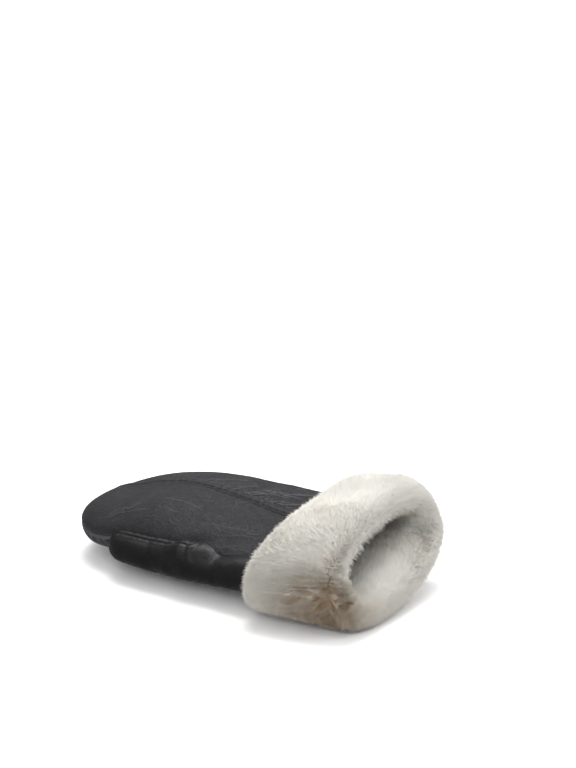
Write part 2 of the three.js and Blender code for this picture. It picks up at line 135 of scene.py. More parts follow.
def make_form(tip, rounding, blunt, folds, girth, thickness, at, rows):
    """A form that runs from its rounded tip to the leather's edge."""
    return {
        "tip": tip,
        "length": LEATHER_LENGTH - tip,
        "round": rounding,
        "blunt": blunt,
        "folds": folds,
        "girth": girth,
        "thickness": thickness,
        "at": at,
        "rows": rows,
    }


def hand_form():
    t = table(HAND_COLUMNS, HAND_SECTIONS)
    rows = {
        "y": 0 * t["at"],
        "z": t["seam"] * HAND_HEIGHT,
        "near": t["near"] * HAND_WIDTH,
        "far": t["far"] * HAND_WIDTH,
        "strip": t["strip"] * HAND_WIDTH,
        "up": t["back"] * HAND_HEIGHT,
        "down": t["palm"] * HAND_HEIGHT,
        "lean": t["lean"] * HAND_HEIGHT / HAND_WIDTH,
        "tuck": t["tuck"],
    }
    sizes = (FINGERTIP_ROUND, FINGERTIP_BLUNT, HAND_FOLDS, HAND_WIDTH, HAND_HEIGHT)
    return make_form(0.0, *sizes, t["at"], rows)


def thumb_form():
    t = table(THUMB_COLUMNS, THUMB_SECTIONS)
    rows = {
        "y": -t["across"] * HAND_WIDTH,
        "z": t["height"] * THUMB_HEIGHT,
        "near": t["half"] * THUMB_WIDTH,
        "far": t["half"] * THUMB_WIDTH,
        "up": t["up"] * THUMB_HEIGHT,
        "down": t["down"] * THUMB_HEIGHT,
        "lean": 0 * t["at"],
        "tuck": 0 * t["at"],
    }
    sizes = (THUMB_ROUND, THUMB_BLUNT, THUMB_FOLDS, THUMB_WIDTH, THUMB_HEIGHT)
    return make_form(THUMB_TIP_SETBACK, *sizes, t["at"], rows)


HAND = hand_form()
THUMB = thumb_form()
CUFF = {
    "tip": LEATHER_SHOWING,
    "length": CUFF_LENGTH,
    "folds": CUFF_FOLDS,
    "girth": HAND_WIDTH,
    "thickness": CUFF_WOOL,
}

# Where the mitten's own frame lies in the row frame
palm_low, palm_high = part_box("palm_panel")
SHIFT = np.array([palm_low.x * 1000, (palm_low.y + palm_high.y) * 500, 0.0])


def ease(t):
    """From 0 to 1 with a soft start and end."""
    return t * t * (3 - 2 * t)


def smoothstep(value, low, high):
    return ease(np.clip((value - low) / (high - low), 0, 1))


def plateau(value, low, full, falling, end):
    """Rises from low to full, and falls again from falling to end."""
    return smoothstep(value, low, full) * (1 - smoothstep(value, falling, end))


def bell(distance, width):
    """1 at no distance, and near 0 past twice the width."""
    return np.exp(-((distance / width) ** 2))


def rounded_end(distance, length):
    """0 at a rounded end and 1 from that length on."""
    rest = 1 - np.clip(distance / length, 0, 1)
    return np.sqrt(1 - rest * rest)


def signed_power(value, power):
    return np.sign(value) * np.abs(value) ** power


def segment_distance(away_x, away_y, run_x, run_y):
    """Distance from a straight run, for a place measured from the run's start."""
    along = np.clip((away_x * run_x + away_y * run_y) / (run_x**2 + run_y**2), 0, 1)
    return np.hypot(away_x - along * run_x, away_y - along * run_y)


def unit(vectors):
    return vectors / np.maximum(np.linalg.norm(vectors, axis=-1, keepdims=True), 1e-12)


def row_at(form, x):
    """The row of a form's table at x, on a smooth curve through the rows."""
    ats = form["at"]
    last = len(ats) - 1
    place = np.clip((np.asarray(x, float) - form["tip"]) / form["length"], 0, 1)
    i = np.searchsorted(ats[1:-1], place, side="left")
    span = ats[i + 1] - ats[i]
    t = (place - ats[i]) / span

    def slope(values, j):
        low = np.maximum(j - 1, 0)
        high = np.minimum(j + 1, last)
        return (values[high] - values[low]) / (ats[high] - ats[low]) * span

    row = {}
    for key, values in form["rows"].items():
        value = values[i] + (values[i + 1] - values[i]) * ease(t)
        row[key] = value + slope(values, i) * t * (1 - t) ** 2 - slope(values, i + 1) * t * t * (1 - t)
    return row


def fold_depth(form, x, angle):
    """How deep the broad folds sink the skin at a place on a form."""
    turn = np.degrees(angle) % 360
    per_degree = form["girth"] / DEGREES_PER_WIDTH
    depth = 0 * turn + 0 * x
    for start, end, start_turn, end_turn, width, sink in form["folds"]:
        run_x = (end - start) * form["length"]
        run_y = (end_turn - start_turn) * per_degree
        away_x = x - form["tip"] - start * form["length"]
        away_y = (turn - start_turn) * per_degree
        distance = segment_distance(away_x, away_y, run_x, run_y)
        depth = depth + sink * form["thickness"] * bell(distance, width * form["girth"])
    return depth


def section_point(row, x, angle, inset, fold=0.0, wide=1.0, tall=1.0, floor=-SEAM_GAP):
    """A point on a cross-section. angle runs from the little finger's side over the back."""
    half = (np.where(np.cos(angle) < 0, row["near"], row["far"]) - inset - fold) * wide
    height = (np.where(np.sin(angle) < 0, row["down"], row["up"]) - inset - fold) * tall
    across = half * signed_power(np.cos(angle), SIDE_FULLNESS)
    under_thumb = np.where(np.sin(angle) < 0, np.maximum(-np.cos(angle), 0), 0)
    pressed = 1 - row["tuck"] * under_thumb
    rise = pressed * height * signed_power(np.sin(angle), HEIGHT_FULLNESS) + row["lean"] * across
    z = np.maximum(np.maximum(row["z"] + rise, inset), floor)
    x, y, z = np.broadcast_arrays(x, row["y"] + across, z)
    return np.stack([x, y, z], -1)


def surface_point(form, x, angle, inset, end_inset=0.0):
    """A point on a form's surface, moved in by inset. end_inset is the inset of its rounded end."""
    distance = x - form["tip"] - end_inset
    wide = rounded_end(distance, form["round"] - end_inset)
    tall = rounded_end(distance, form["blunt"] - end_inset)
    return section_point(row_at(form, x), x, angle, inset, fold_depth(form, x, angle), wide, tall)


def askew(points):
    """Shears points near the cuff end, along the mitten."""
    points = np.array(points, float)
    x = points[..., 0].copy()
    at_edge = smoothstep(x, LEATHER_SHOWING - ASKEW_LENGTH, LEATHER_SHOWING)
    at_rim = smoothstep(x, LEATHER_SHOWING, CUFF_END)
    points[..., 0] += points[..., 1] * CUFF_ASKEW * at_edge
    points[..., 0] -= (points[..., 2] - CUFF_MIDDLE) * LIP_SLOPE * at_rim
    return points


def to_row_frame(points):
    """Millimetres in the mitten's own frame to metres in the row frame."""
    return (askew(points) + SHIFT) / 1000


# Noise on a lattice with fixed values. The primes spread a cell's column, row and seed over them.
LATTICE = np.random.default_rng(7).random(8192)
COLUMN_PRIME, ROW_PRIME, SEED_PRIME = 73856093, 19349663, 83492791


def lattice_value(i, j, seed):
    spot = (i.astype(np.int64) * COLUMN_PRIME) ^ (j.astype(np.int64) * ROW_PRIME) ^ (seed * SEED_PRIME)
    return LATTICE[spot % len(LATTICE)]


def noise(u, v, size, seed, around=0):
    """Smooth noise from -1 to 1 with features of that size. around closes it on itself in v."""
    u = np.asarray(u, float) / size
    v = np.asarray(v, float) / size
    if around:
        cells = max(int(round(around / size)), 1)
        v = v * size / around * cells
    i = np.floor(u)
    j = np.floor(v)
    fu = ease(u - i)
    fv = ease(v - j)
    j_next = j + 1
    if around:
        j = j % cells
        j_next = j_next % cells
    low = lattice_value(i, j, seed) * (1 - fu) + lattice_value(i + 1, j, seed) * fu
    high = lattice_value(i, j_next, seed) * (1 - fu) + lattice_value(i + 1, j_next, seed) * fu
    return 2 * (low * (1 - fv) + high * fv) - 1


# Mesh making
def add_object(name, data):
    made = bpy.data.objects.new(name, data)
    bpy.context.scene.collection.objects.link(made)
    return made


def smooth(mesh):
    mesh.polygons.foreach_set("use_smooth", [True] * len(mesh.polygons))


def new_object(name, points, faces, materials):
    mesh = bpy.data.meshes.new(name)
    mesh.from_pydata([tuple(p) for p in np.asarray(points).tolist()], [], faces)
    mesh.validate()
    for material in materials:
        mesh.materials.append(material)
    smooth(mesh)
    return add_object(name, mesh)


def point_attribute(mesh, name, values):
    """Stores a value at each point of a mesh, for its material to read."""
    attribute = mesh.attributes.new(name, "FLOAT", "POINT")
    attribute.data.foreach_set("value", np.asarray(values, np.float32).ravel())


def read_vectors(collection, key):
    values = np.empty(len(collection) * 3, np.float32)
    collection.foreach_get(key, values)
    return values.reshape(-1, 3)


def mark_wear_and_shade(obj, gain):
    """Stores how far each point stands over its neighbours, from 0 in a groove to 1 on a ridge: painted shade
    in grooves, and wear with a painted highlight on ridges.
    """
    mesh = obj.data
    count = len(mesh.vertices)
    place = read_vectors(mesh.vertices, "co").astype(float) * 1000
    normal = read_vectors(mesh.vertex_normals, "vector")
    edge = np.empty(len(mesh.edges) * 2, np.int32)
    mesh.edges.foreach_get("vertices", edge)
    edge = edge.reshape(-1, 2)
    ends = np.concatenate([edge, edge[:, ::-1]])
    linked = np.maximum(np.bincount(ends[:, 0], minlength=count), 1)

    def neighbour_mean(values):
        return np.bincount(ends[:, 0], values[ends[:, 1]], minlength=count) / linked

    middle = np.stack([neighbour_mean(place[:, k]) for k in range(3)], 1)
    proud = ((place - middle) * normal).sum(1)
    proud = 0.5 * proud + 0.5 * neighbour_mean(proud)
    point_attribute(mesh, "wear_and_shade", np.clip(0.5 + gain * proud, 0, 1))


def face_outwards(obj):
    bm = bmesh.new()
    bm.from_mesh(obj.data)
    bmesh.ops.recalc_face_normals(bm, faces=bm.faces)
    bm.to_mesh(obj.data)
    bm.free()


def sharpen(obj, degrees):
    """Marks edges sharper than that many degrees, so that the shading breaks there."""
    bm = bmesh.new()
    bm.from_mesh(obj.data)
    limit = math.radians(degrees)
    for edge in bm.edges:
        if len(edge.link_faces) == 2 and edge.calc_face_angle(0.0) > limit:
            edge.smooth = False
    bm.to_mesh(obj.data)
    bm.free()


def grid_faces(rows, columns, first, closed=False):
    """Quads between rows of points, each row following on the last."""
    count = columns if closed else columns - 1
    faces = []
    for r in range(rows - 1):
        for c in range(count):
            d = (c + 1) % columns
            a = first + r * columns
            b = a + columns
            faces.append((a + c, a + d, b + d, b + c))
    return faces


def loft(points, start, end):
    """A closed solid through closed rings of points (rings, columns, 3), with a fan at each end."""
    rings, columns, _ = points.shape
    everything = np.concatenate([[start], points.reshape(-1, 3), [end]])
    faces = grid_faces(rings, columns, 1, closed=True)
    last = len(everything) - 1
    final = 1 + (rings - 1) * columns
    for c in range(columns):
        d = (c + 1) % columns
        faces.append((0, 1 + d, 1 + c))
        faces.append((last, final + c, final + d))
    return everything, faces


def cap_stations(form, inset, cap_count, straight_count, end=None, start=None):
    """Places along a form, closer together at its rounded tip."""
    angles = np.linspace(0, math.pi / 2, cap_count + 1)[1:]
    cap = form["tip"] + inset + (form["round"] - inset) * (1 - np.cos(angles))
    end = LEATHER_LENGTH if end is None else end
    straight = np.linspace(form["tip"] + form["round"], end, straight_count + 1)[1:]
    stations = np.concatenate([cap, straight])
    return stations if start is None else np.concatenate([[start], stations[stations > start + 0.5]])


def tip_point(form, inset):
    row = row_at(form, form["tip"])
    return np.array([form["tip"] + inset, float(row["y"]), float(row["z"])])


# Rings on the tip, rings along the rest and points a ring of the plain solids that cut
SOCK_GRID = (14, 40, 72)


def sock(form, inset, end, start=None):
    """A form as a closed solid, moved in by inset. It may start past the tip."""
    x = cap_stations(form, inset, *SOCK_GRID[:2], end, start)
    angle = np.linspace(0, 2 * math.pi, SOCK_GRID[2], endpoint=False)
    points = surface_point(form, x[:, None], angle[None, :], inset, inset)
    head = tip_point(form, inset) if start is None else points[0].mean(0)
    return loft(points, head, points[-1].mean(0))


def tool_object(name, points, faces):
    """A solid that only cuts another."""
    made = new_object(name, to_row_frame(points), faces, [])
    face_outwards(made)
    return made


def cut(obj, tool, operation="DIFFERENCE"):
    modifier = obj.modifiers.new("cut", "BOOLEAN")
    modifier.object = tool
    modifier.operation = operation
    modifier.solver = "MANIFOLD"
    apply_modifiers(obj)


def apply_modifiers(obj):
    graph = bpy.context.evaluated_depsgraph_get()
    made = bpy.data.meshes.new_from_object(obj.evaluated_get(graph))
    obj.modifiers.clear()
    obj.data = made


def remove(*objects):
    for obj in objects:
        bpy.data.objects.remove(obj)


# Materials
def colour(value):
    return (*value, 1.0)


def scaled(tone, factor):
    return tuple(factor * c for c in tone)


def new_material(name):
    material = bpy.data.materials.new(name)
    material.use_nodes = True
    tree = material.node_tree
    return material, tree, tree.nodes["Principled BSDF"]


def node(tree, kind, **settings):
    made = tree.nodes.new(kind)
    for name, value in settings.items():
        setattr(made, name, value)
    return made


def set_inputs(made, values):
    for name, value in values.items():
        made.inputs[name].default_value = value


def object_coordinates(tree):
    return node(tree, "ShaderNodeTexCoord").outputs["Object"]


def stored_value(tree, name):
    """The value that a mesh stores at its points under that name."""
    return node(tree, "ShaderNodeAttribute", attribute_name=name).outputs["Fac"]


def noise_texture(tree, vector, scale, detail):
    made = node(tree, "ShaderNodeTexNoise")
    set_inputs(made, {"Scale": scale, "Detail": detail, "Roughness": 0.55})
    tree.links.new(vector, made.inputs["Vector"])
    return made.outputs["Fac"]


def map_range(tree, value, from_low, from_high, to_low, to_high):
    made = node(tree, "ShaderNodeMapRange")
    set_inputs(made, {"From Min": from_low, "From Max": from_high, "To Min": to_low, "To Max": to_high})
    tree.links.new(value, made.inputs["Value"])
    return made.outputs["Result"]


def mix_colours(tree, factor, a, b):
    """Sockets 6 and 7 of a mix node are its two colours, and output 2 is their mix."""
    made = node(tree, "ShaderNodeMix", data_type="RGBA")
    tree.links.new(factor, made.inputs["Factor"])
    for socket, value in ((made.inputs[6], a), (made.inputs[7], b)):
        if isinstance(value, tuple):
            socket.default_value = colour(value)
        else:
            tree.links.new(value, socket)
    return made.outputs[2]


def bump(tree, height, strength, distance, normal=None):
    made = node(tree, "ShaderNodeBump")
    set_inputs(made, {"Strength": strength, "Distance": distance})
    tree.links.new(height, made.inputs["Height"])
    if normal is not None:
        tree.links.new(normal, made.inputs["Normal"])
    return made.outputs["Normal"]


# Leather: pebbles, pores and broad patches in a metre, and the relief of each in metres
PEBBLES = 900
PORES = 420
PATCHES = 60
PEBBLE_RELIEF = 0.0002
PORE_RELIEF = 0.0009
PATCH_RELIEF = 0.0014
DARK_TONE = (0.012, 0.012, 0.0134)
LIGHT_TONE = (0.026, 0.026, 0.029)
# Rubbed ridges take wear and a painted highlight; sunk grooves take painted shade
RUBBED_AND_HIGHLIT_TONE = (0.068, 0.068, 0.072)
GROOVE_SHADE_TONE = (0.002, 0.002, 0.0025)
# The stored value below which leather takes the full painted shade of a groove, and so on up to the full wear
# and painted highlight of a ridge
WEAR_AND_SHADE_STEPS = (0.1, 0.42, 0.56, 0.9)


def leather_material(name, roughness, pale, shine, relief):
    """Black grained leather: pebbles, fine creases between them and a soft uneven shine, with painted shade
    in grooves and wear with a painted highlight on ridges. pale is a factor on its colours, which darkens the
    thumb's copy as painted shade, and relief one on its grain."""
    material, tree, shader = new_material(name)
    vector = object_coordinates(tree)
    pebbles = node(tree, "ShaderNodeTexVoronoi", feature="DISTANCE_TO_EDGE")
    set_inputs(pebbles, {"Scale": PEBBLES})
    tree.links.new(vector, pebbles.inputs["Vector"])
    grain = map_range(tree, pebbles.outputs["Distance"], 0, 0.3, 0, 1)
    pores = noise_texture(tree, vector, PORES, 5)
    patches = noise_texture(tree, vector, PATCHES, 4)
    normal = bump(tree, patches, 0.5, PATCH_RELIEF)
    normal = bump(tree, pores, relief, PORE_RELIEF, normal)
    normal = bump(tree, grain, 0.8 * relief, PEBBLE_RELIEF, normal)
    tree.links.new(normal, shader.inputs["Normal"])
    wear_and_shade = stored_value(tree, "wear_and_shade")
    # Painted shade darkens the grooves, and wear with a painted highlight lightens the ridges
    groove_shade = map_range(tree, wear_and_shade, *WEAR_AND_SHADE_STEPS[:2], 1, 0)
    rub_and_highlight = map_range(tree, wear_and_shade, *WEAR_AND_SHADE_STEPS[2:], 0, 1)
    tone = mix_colours(tree, patches, scaled(DARK_TONE, pale), scaled(LIGHT_TONE, pale))
    tone = mix_colours(tree, groove_shade, tone, GROOVE_SHADE_TONE)
    tone = mix_colours(tree, rub_and_highlight, tone, scaled(RUBBED_AND_HIGHLIT_TONE, pale))
    tree.links.new(tone, shader.inputs["Base Color"])
    rough = map_range(tree, pores, 0.3, 0.7, roughness - 0.06, roughness + 0.08)
    tree.links.new(rough, shader.inputs["Roughness"])
    set_inputs(shader, {"Specular IOR Level": shine})
    return material


# How far light spreads in wool, in metres for red, green and blue
WOOL_GLOW = (0.0016, 0.0013, 0.001)


def wool_material(name, root, tip):
    """Cream wool. The tone attribute runs from 0 at a hair's root to 1 at its tip; low tones paint shade in
    the parting and between open locks.
    """
    material, tree, shader = new_material(name)
    blotch = noise_texture(tree, object_coordinates(tree), 45, 3)
    pale = mix_colours(tree, blotch, scaled(tip, 0.93), tip)
    shade = mix_colours(tree, stored_value(tree, "tone"), root, pale)
    tree.links.new(shade, shader.inputs["Base Color"])
    set_inputs(shader, {"Roughness": 0.9, "Specular IOR Level": 0.2})
    set_inputs(shader, {"Subsurface Weight": 0.6, "Subsurface Radius": WOOL_GLOW, "Subsurface Scale": 1.0})
    return material


def thread_material(name, base, roughness):
    material, tree, shader = new_material(name)
    speckle = noise_texture(tree, object_coordinates(tree), 300, 2)
    shade = mix_colours(tree, speckle, scaled(base, 0.9), base)
    tree.links.new(shade, shader.inputs["Base Color"])
    set_inputs(shader, {"Roughness": roughness})
    return material


black_leather = leather_material("black leather", 0.38, 1.0, 0.17, 1.0)
# The thumb's copy is smoother, and its colours are darkened by pale as painted shade
thumb_leather = leather_material("thumb leather", 0.38, 0.4, 0.19, 0.35)
thread_black = thread_material("black thread", (0.006, 0.006, 0.007), 0.7)
wool = wool_material("cream wool", (0.22, 0.145, 0.085), (0.77, 0.727, 0.632))
backing_wool = wool_material("deep wool", (0.16, 0.11, 0.07), (0.72, 0.68, 0.59))

# Seams, welt and fine creases of the leather, in millimetres
ROLL_RADIUS = 2.6
ROLL_DEPTH = 1.7
WELT_WIDTH = 6.5
WELT_RISE = 1.1
WELT_CROWN = 0.25
WELT_FADE = 30.0
CHANNEL_GAP = 0.9
CHANNEL_WIDTH = 1.1
STITCH_CHANNEL = 1.5
SWELL_GAP = 7.0
SWELL_WIDTH = 4.5
SWELL_RISE = 0.45
PUCKER_HEIGHT = 0.3
PUCKER_REACH = 7.0
PUCKER_LENGTH = 7.5
CREASE_DEPTH = 1.3
SEAM_LINE = 0.3
# How strongly each millimetre that a point stands proud counts towards wear and painted highlight, and each
# millimetre that it sinks towards painted shade
HAND_WEAR_AND_SHADE = 6.0
THUMB_WEAR_AND_SHADE = 2.5

# Fine creases of the back: x, turn at the start and at the end, bow (sideways, as a share of the run),
# width and depth
CREASE_COLUMNS = ("x", "turn", "end_x", "end_turn", "bow", "width", "depth")
CREASES = (
    (47, 147, 74, 113, 0.12, 0.9, 0.45),
    (51, 140, 66, 126, -0.15, 0.8, 0.35),
    (56, 142, 92, 129, -0.1, 0.8, 0.3),
    (86, 113, 138, 117, -0.08, 0.9, 0.2),
    (98, 121, 128, 126, 0.1, 0.8, 0.12),
    (64, 70, 62, 50, 0.1, 0.9, 0.4),
    (76, 66, 96, 50, 0.12, 0.9, 0.35),
    (84, 76, 112, 66, 0.15, 0.9, 0.4),
    (104, 78, 140, 58, -0.1, 0.9, 0.4),
    (128, 82, 150, 60, 0.1, 0.8, 0.5),
    (140, 84, 172, 62, 0.12, 1.0, 0.8),
    (150, 84, 186, 70, -0.08, 0.9, 0.7),
    (160, 86, 200, 72, 0.08, 0.9, 0.65),
    (150, 70, 190, 58, 0.1, 1.0, 0.8),
    (166, 78, 192, 52, -0.15, 0.8, 0.75),
    (178, 84, 206, 64, 0.1, 0.8, 0.7),
    (170, 60, 200, 40, 0.1, 0.9, 0.6),
    (152, 128, 188, 118, 0.1, 0.8, 0.14),
    (166, 142, 204, 126, -0.1, 0.8, 0.14),
    (176, 152, 206, 146, 0.08, 0.8, 0.14),
)


# Finer ones, scattered: count, x from and to, turn from and to, slant (degrees) and its spread, and depth
SCATTERED = {
    "outer": ((60, 110, 214, 34, 86, -38, 20, 0.36), (34, 30, 200, 6, 70, -20, 40, 0.22)),
    "thumb_side": ((26, 24, 150, 92, 160, -15, 40, 0.16), (22, 140, 214, 96, 172, -25, 25, 0.22)),
    "palm": ((80, 24, 214, 190, 350, 78, 32, 0.3),),
}
SHORTEST_CREASE = 6.0
LONGEST_CREASE = 21.0
HAND_PER_DEGREE = HAND_WIDTH / DEGREES_PER_WIDTH


def scattered_creases(panel):
    """Rows of the crease table for a panel, on a random draw with a fixed seed."""
    rng = np.random.default_rng(sum(map(ord, panel)))
    rows = []
    for count, x_low, x_high, turn_low, turn_high, slant, spread, depth in SCATTERED[panel]:
        for _ in range(count):
            x = x_low + (x_high - x_low) * rng.random() ** 0.8
            turn = turn_low + (turn_high - turn_low) * rng.random()
            length = SHORTEST_CREASE + (LONGEST_CREASE - SHORTEST_CREASE) * rng.random() ** 2
            way = math.radians(slant + spread * rng.normal())
            end_x = x + length * math.cos(way)
            end_turn = turn + length * math.sin(way) / HAND_PER_DEGREE
            bow = 0.3 * (rng.random() - 0.5)
            width = 0.5 + 0.4 * rng.random()
            rows.append((x, turn, end_x, end_turn, bow, width, depth * (0.4 + 0.6 * rng.random())))
    return rows


def crease_height(x, turn, creases):
    """Fine creases: each is a groove with a raised fold along one side."""
    t = table(CREASE_COLUMNS, creases)
    height = 0 * turn + 0 * x
    for k in range(len(creases)):
        run_x = t["end_x"][k] - t["x"][k]
        run_y = (t["end_turn"][k] - t["turn"][k]) * HAND_PER_DEGREE
        length = math.hypot(run_x, run_y)
        away_x = x - t["x"][k]
        away_y = (turn - t["turn"][k]) * HAND_PER_DEGREE
        along = (away_x * run_x + away_y * run_y) / length**2
        side = (away_y * run_x - away_x * run_y) / length
        place, line = along * length, 0 * along + k
        wander = 0.9 * noise(place, line, 9.0, 3) + 0.35 * noise(place, line, 3.0, 4)
        side = side - t["bow"][k] * length * 4 * along * (1 - along) - wander
        width = t["width"][k]
        groove_and_ridge = 0.9 * bell(side - 1.9 * width, 1.2 * width) - bell(side, width)
        fade = plateau(along, 0, 0.25, 0.7, 1.0)
        height = height + CREASE_DEPTH * t["depth"][k] * fade * groove_and_ridge
    return height


def half_width_at(x):
    return row_at(HAND, x)["far"] * rounded_end(x, HAND["round"])


def angle_of(length, x):
    return length / np.maximum(half_width_at(x), length)


def side_gap_angle(x):
    row = row_at(HAND, x)
    height = np.maximum(np.minimum(row["up"], row["down"]) * rounded_end(x, HAND["blunt"]), SEAM_GAP)
    return np.minimum((SEAM_GAP / 2 / height) ** (1 / HEIGHT_FULLNESS), TIP_GAP_LIMIT)


def back_seam_angle(x):
    share = row_at(HAND, x)["strip"] / half_width_at(np.maximum(x, SEAM_GAP))
    return np.arccos(signed_power(np.clip(share, -STRIP_LIMIT, STRIP_LIMIT), 1 / SIDE_FULLNESS))


def even_angles(form, x, start, end, count):
    """Angles between two edges at each place, spread by length along the skin and closer together at the
    edges. Also gives each one's distance from both edges."""
    dense = np.linspace(0, 1, 300)
    angles = start[:, None] + (end - start)[:, None] * dense
    points = surface_point(form, x[:, None], angles, 0.0)
    steps = np.linalg.norm(np.diff(points, axis=1), axis=-1)
    lengths = np.concatenate([np.zeros((len(x), 1)), np.cumsum(steps, 1)], 1)
    even = np.linspace(0, 1, count)
    share = even - 0.07 * np.sin(2 * math.pi * even)
    found = np.empty((len(x), count))
    near = np.empty((len(x), count))
    for r in range(len(x)):
        near[r] = share * lengths[r, -1]
        found[r] = np.interp(near[r], lengths[r], angles[r])
    return found, near, lengths[:, -1:] - near


def rolled_edge(distance):
    """How deep a seam draws the skin in at that distance from its edge."""
    rest = 1 - np.clip(distance / ROLL_RADIUS, 0, 1)
    return ROLL_DEPTH * (1 - np.sqrt(1 - rest * rest))


def pucker(along, distance, seed, strength=1.0):
    """Small ripples across a seam, which die out away from it."""
    phase = 2 * math.pi * along / PUCKER_LENGTH + 2.2 * noise(along, 0 * along, 16.0, seed)
    size = 0.6 + 0.4 * noise(along, 0 * along, 25.0, seed + 1)
    return strength * PUCKER_HEIGHT * size * np.sin(phase) * np.exp(-distance / PUCKER_REACH)


def welt_height(distance, x):
    """The turned edge that stands up at the back's long seam, its stitched foot and the swell past it."""
    rise = plateau(distance, -0.2, 1.3, WELT_WIDTH - 1.0, WELT_WIDTH + 0.6)
    crown = WELT_CROWN * np.sin(np.clip(distance / WELT_WIDTH, 0, 1) * math.pi)
    channel = STITCH_CHANNEL * bell(distance - WELT_WIDTH - CHANNEL_GAP, CHANNEL_WIDTH)
    swell = SWELL_RISE * bell(distance - WELT_WIDTH - SWELL_GAP, SWELL_WIDTH)
    return smoothstep(x, 4, WELT_FADE) * (WELT_RISE * rise + crown * rise - channel + swell)


def bridge(fine, coarse, step):
    """Faces between a fine border and a coarse one that has a point at every step-th of its points."""
    faces = []
    for k in range(len(coarse) - 1):
        part = fine[k * step : (k + 1) * step + 1]
        half = step // 2
        for j in range(step):
            faces.append((part[j], part[j + 1], coarse[k] if j < half else coarse[k + 1]))
        faces.append((part[half], coarse[k + 1], coarse[k]))
    return faces


INNER_STEP = 4


def shell(outer, outer_tip, inner, inner_tip):
    """A closed wall from an outer grid and an inner grid of the same size, which is thinned out."""
    rows, columns, _ = outer.shape
    coarse = inner[::INNER_STEP, ::INNER_STEP]
    coarse_rows, coarse_columns, _ = coarse.shape
    first = 1 + rows * columns
    points = np.concatenate([[outer_tip], outer.reshape(-1, 3), [inner_tip], coarse.reshape(-1, 3)])
    faces = grid_faces(rows, columns, 1) + grid_faces(coarse_rows, coarse_columns, first + 1)
    faces += [(0, 2 + c, 1 + c) for c in range(columns - 1)]
    faces += [(first, first + 2 + c, first + 1 + c) for c in range(coarse_columns - 1)]

    fine = np.arange(1, first).reshape(rows, columns)
    rough = first + 1 + np.arange(coarse_rows * coarse_columns).reshape(coarse_rows, coarse_columns)
    for c in (0, -1):
        line, inside = fine[:, c].tolist(), rough[:, c].tolist()
        faces += bridge(line, inside, INNER_STEP)
        faces.append((0, line[0], inside[0], first))
    faces += bridge(fine[-1].tolist(), rough[-1].tolist(), INNER_STEP)
    return points, faces


def hand_relief(panel, x, angle, near, far):
    """Height of a panel's fine shape over the plain skin. near and far are distances from its edges."""
    turn = np.degrees(angle)
    height = 0.16 * noise(x, turn, 11.0, 11) + 0.09 * noise(x, turn, 5.0, 12)
    height = height + crease_height(x, turn, scattered_creases(panel))
    if panel == "outer":
        height = height + crease_height(x, turn, CREASES) - rolled_edge(near) + welt_height(far, x)
        height = height + pucker(x, np.maximum(far - WELT_WIDTH, 0), 21, 0.8) + pucker(x, near, 22, 0.6)
    if panel == "thumb_side":
        height = height + crease_height(x, turn, CREASES) - 1.3 * bell(near, 1.5) - rolled_edge(far)
        height = height + pucker(x, far, 23, 0.6) + pucker(x, near, 24, 0.55)
    if panel == "palm":
        height = height - rolled_edge(near) - rolled_edge(far)
        height = height + pucker(x, near, 25, 0.6) + pucker(x, far, 26, 0.6)
    return height * smoothstep(x, 1, 14)


def outer_edges(x):
    return side_gap_angle(x), back_seam_angle(x) - angle_of(SEAM_LINE / 2, x)


def thumb_side_edges(x):
    return back_seam_angle(x) + angle_of(SEAM_LINE / 2, x), math.pi - side_gap_angle(x)


def palm_edges(x):
    return math.pi + side_gap_angle(x), 2 * math.pi - side_gap_angle(x)


# Each panel of the hand: its edges, its grid (rings on the tip, rings along the rest and points across)
# and where its tip point is moved, in seam gaps
PANELS = {
    "outer": (outer_edges, (84, 281, 109), (0, 2, 0.5)),
    "thumb_side": (thumb_side_edges, (84, 281, 113), (0, -2, 0.5)),
    "palm": (palm_edges, (52, 133, 97), (0, 0, -0.5)),
}
# The finished grids of those panels, for their stitches
PANEL_GRIDS = {}


def hand_panel(name, node_name, panel):
    """One panel of the hand's skin between two edge angles."""
    edges, (cap_count, straight_count, columns), tip_gaps = PANELS[panel]
    assert (cap_count + straight_count - 1) % INNER_STEP == 0 and (columns - 1) % INNER_STEP == 0
    x = cap_stations(HAND, 0.0, cap_count, straight_count)
    inner_x = cap_stations(HAND, LEATHER_WALL, cap_count, straight_count)
    angle, near, far = even_angles(HAND, x, *edges(x), columns)
    PANEL_GRIDS[panel] = (x, angle, near, far)
    grid_x = np.repeat(x[:, None], columns, 1)
    outer = surface_point(HAND, grid_x, angle, -hand_relief(panel, grid_x, angle, near, far))
    outer[..., 2] = np.maximum(outer[..., 2], 0)
    grid_x = np.repeat(inner_x[:, None], columns, 1)
    inner = surface_point(HAND, grid_x, angle, LEATHER_WALL, LEATHER_WALL)
    shift = SEAM_GAP * np.array(tip_gaps)
    outer_tip = tip_point(HAND, 0.0) + shift
    inner_tip = tip_point(HAND, LEATHER_WALL) + shift
    points, faces = shell(outer, outer_tip, inner, inner_tip)
    made = new_object(name, to_row_frame(points), faces, [black_leather])
    face_outwards(made)
    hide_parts(node_name)
    return made


back_outer = hand_panel("back_leather_outer", "back_panel_outer", "outer")
back_thumb_side = hand_panel("back_leather_thumb_side", "back_panel_thumb_side", "thumb_side")
palm = hand_panel("palm_leather", "palm_panel", "palm")

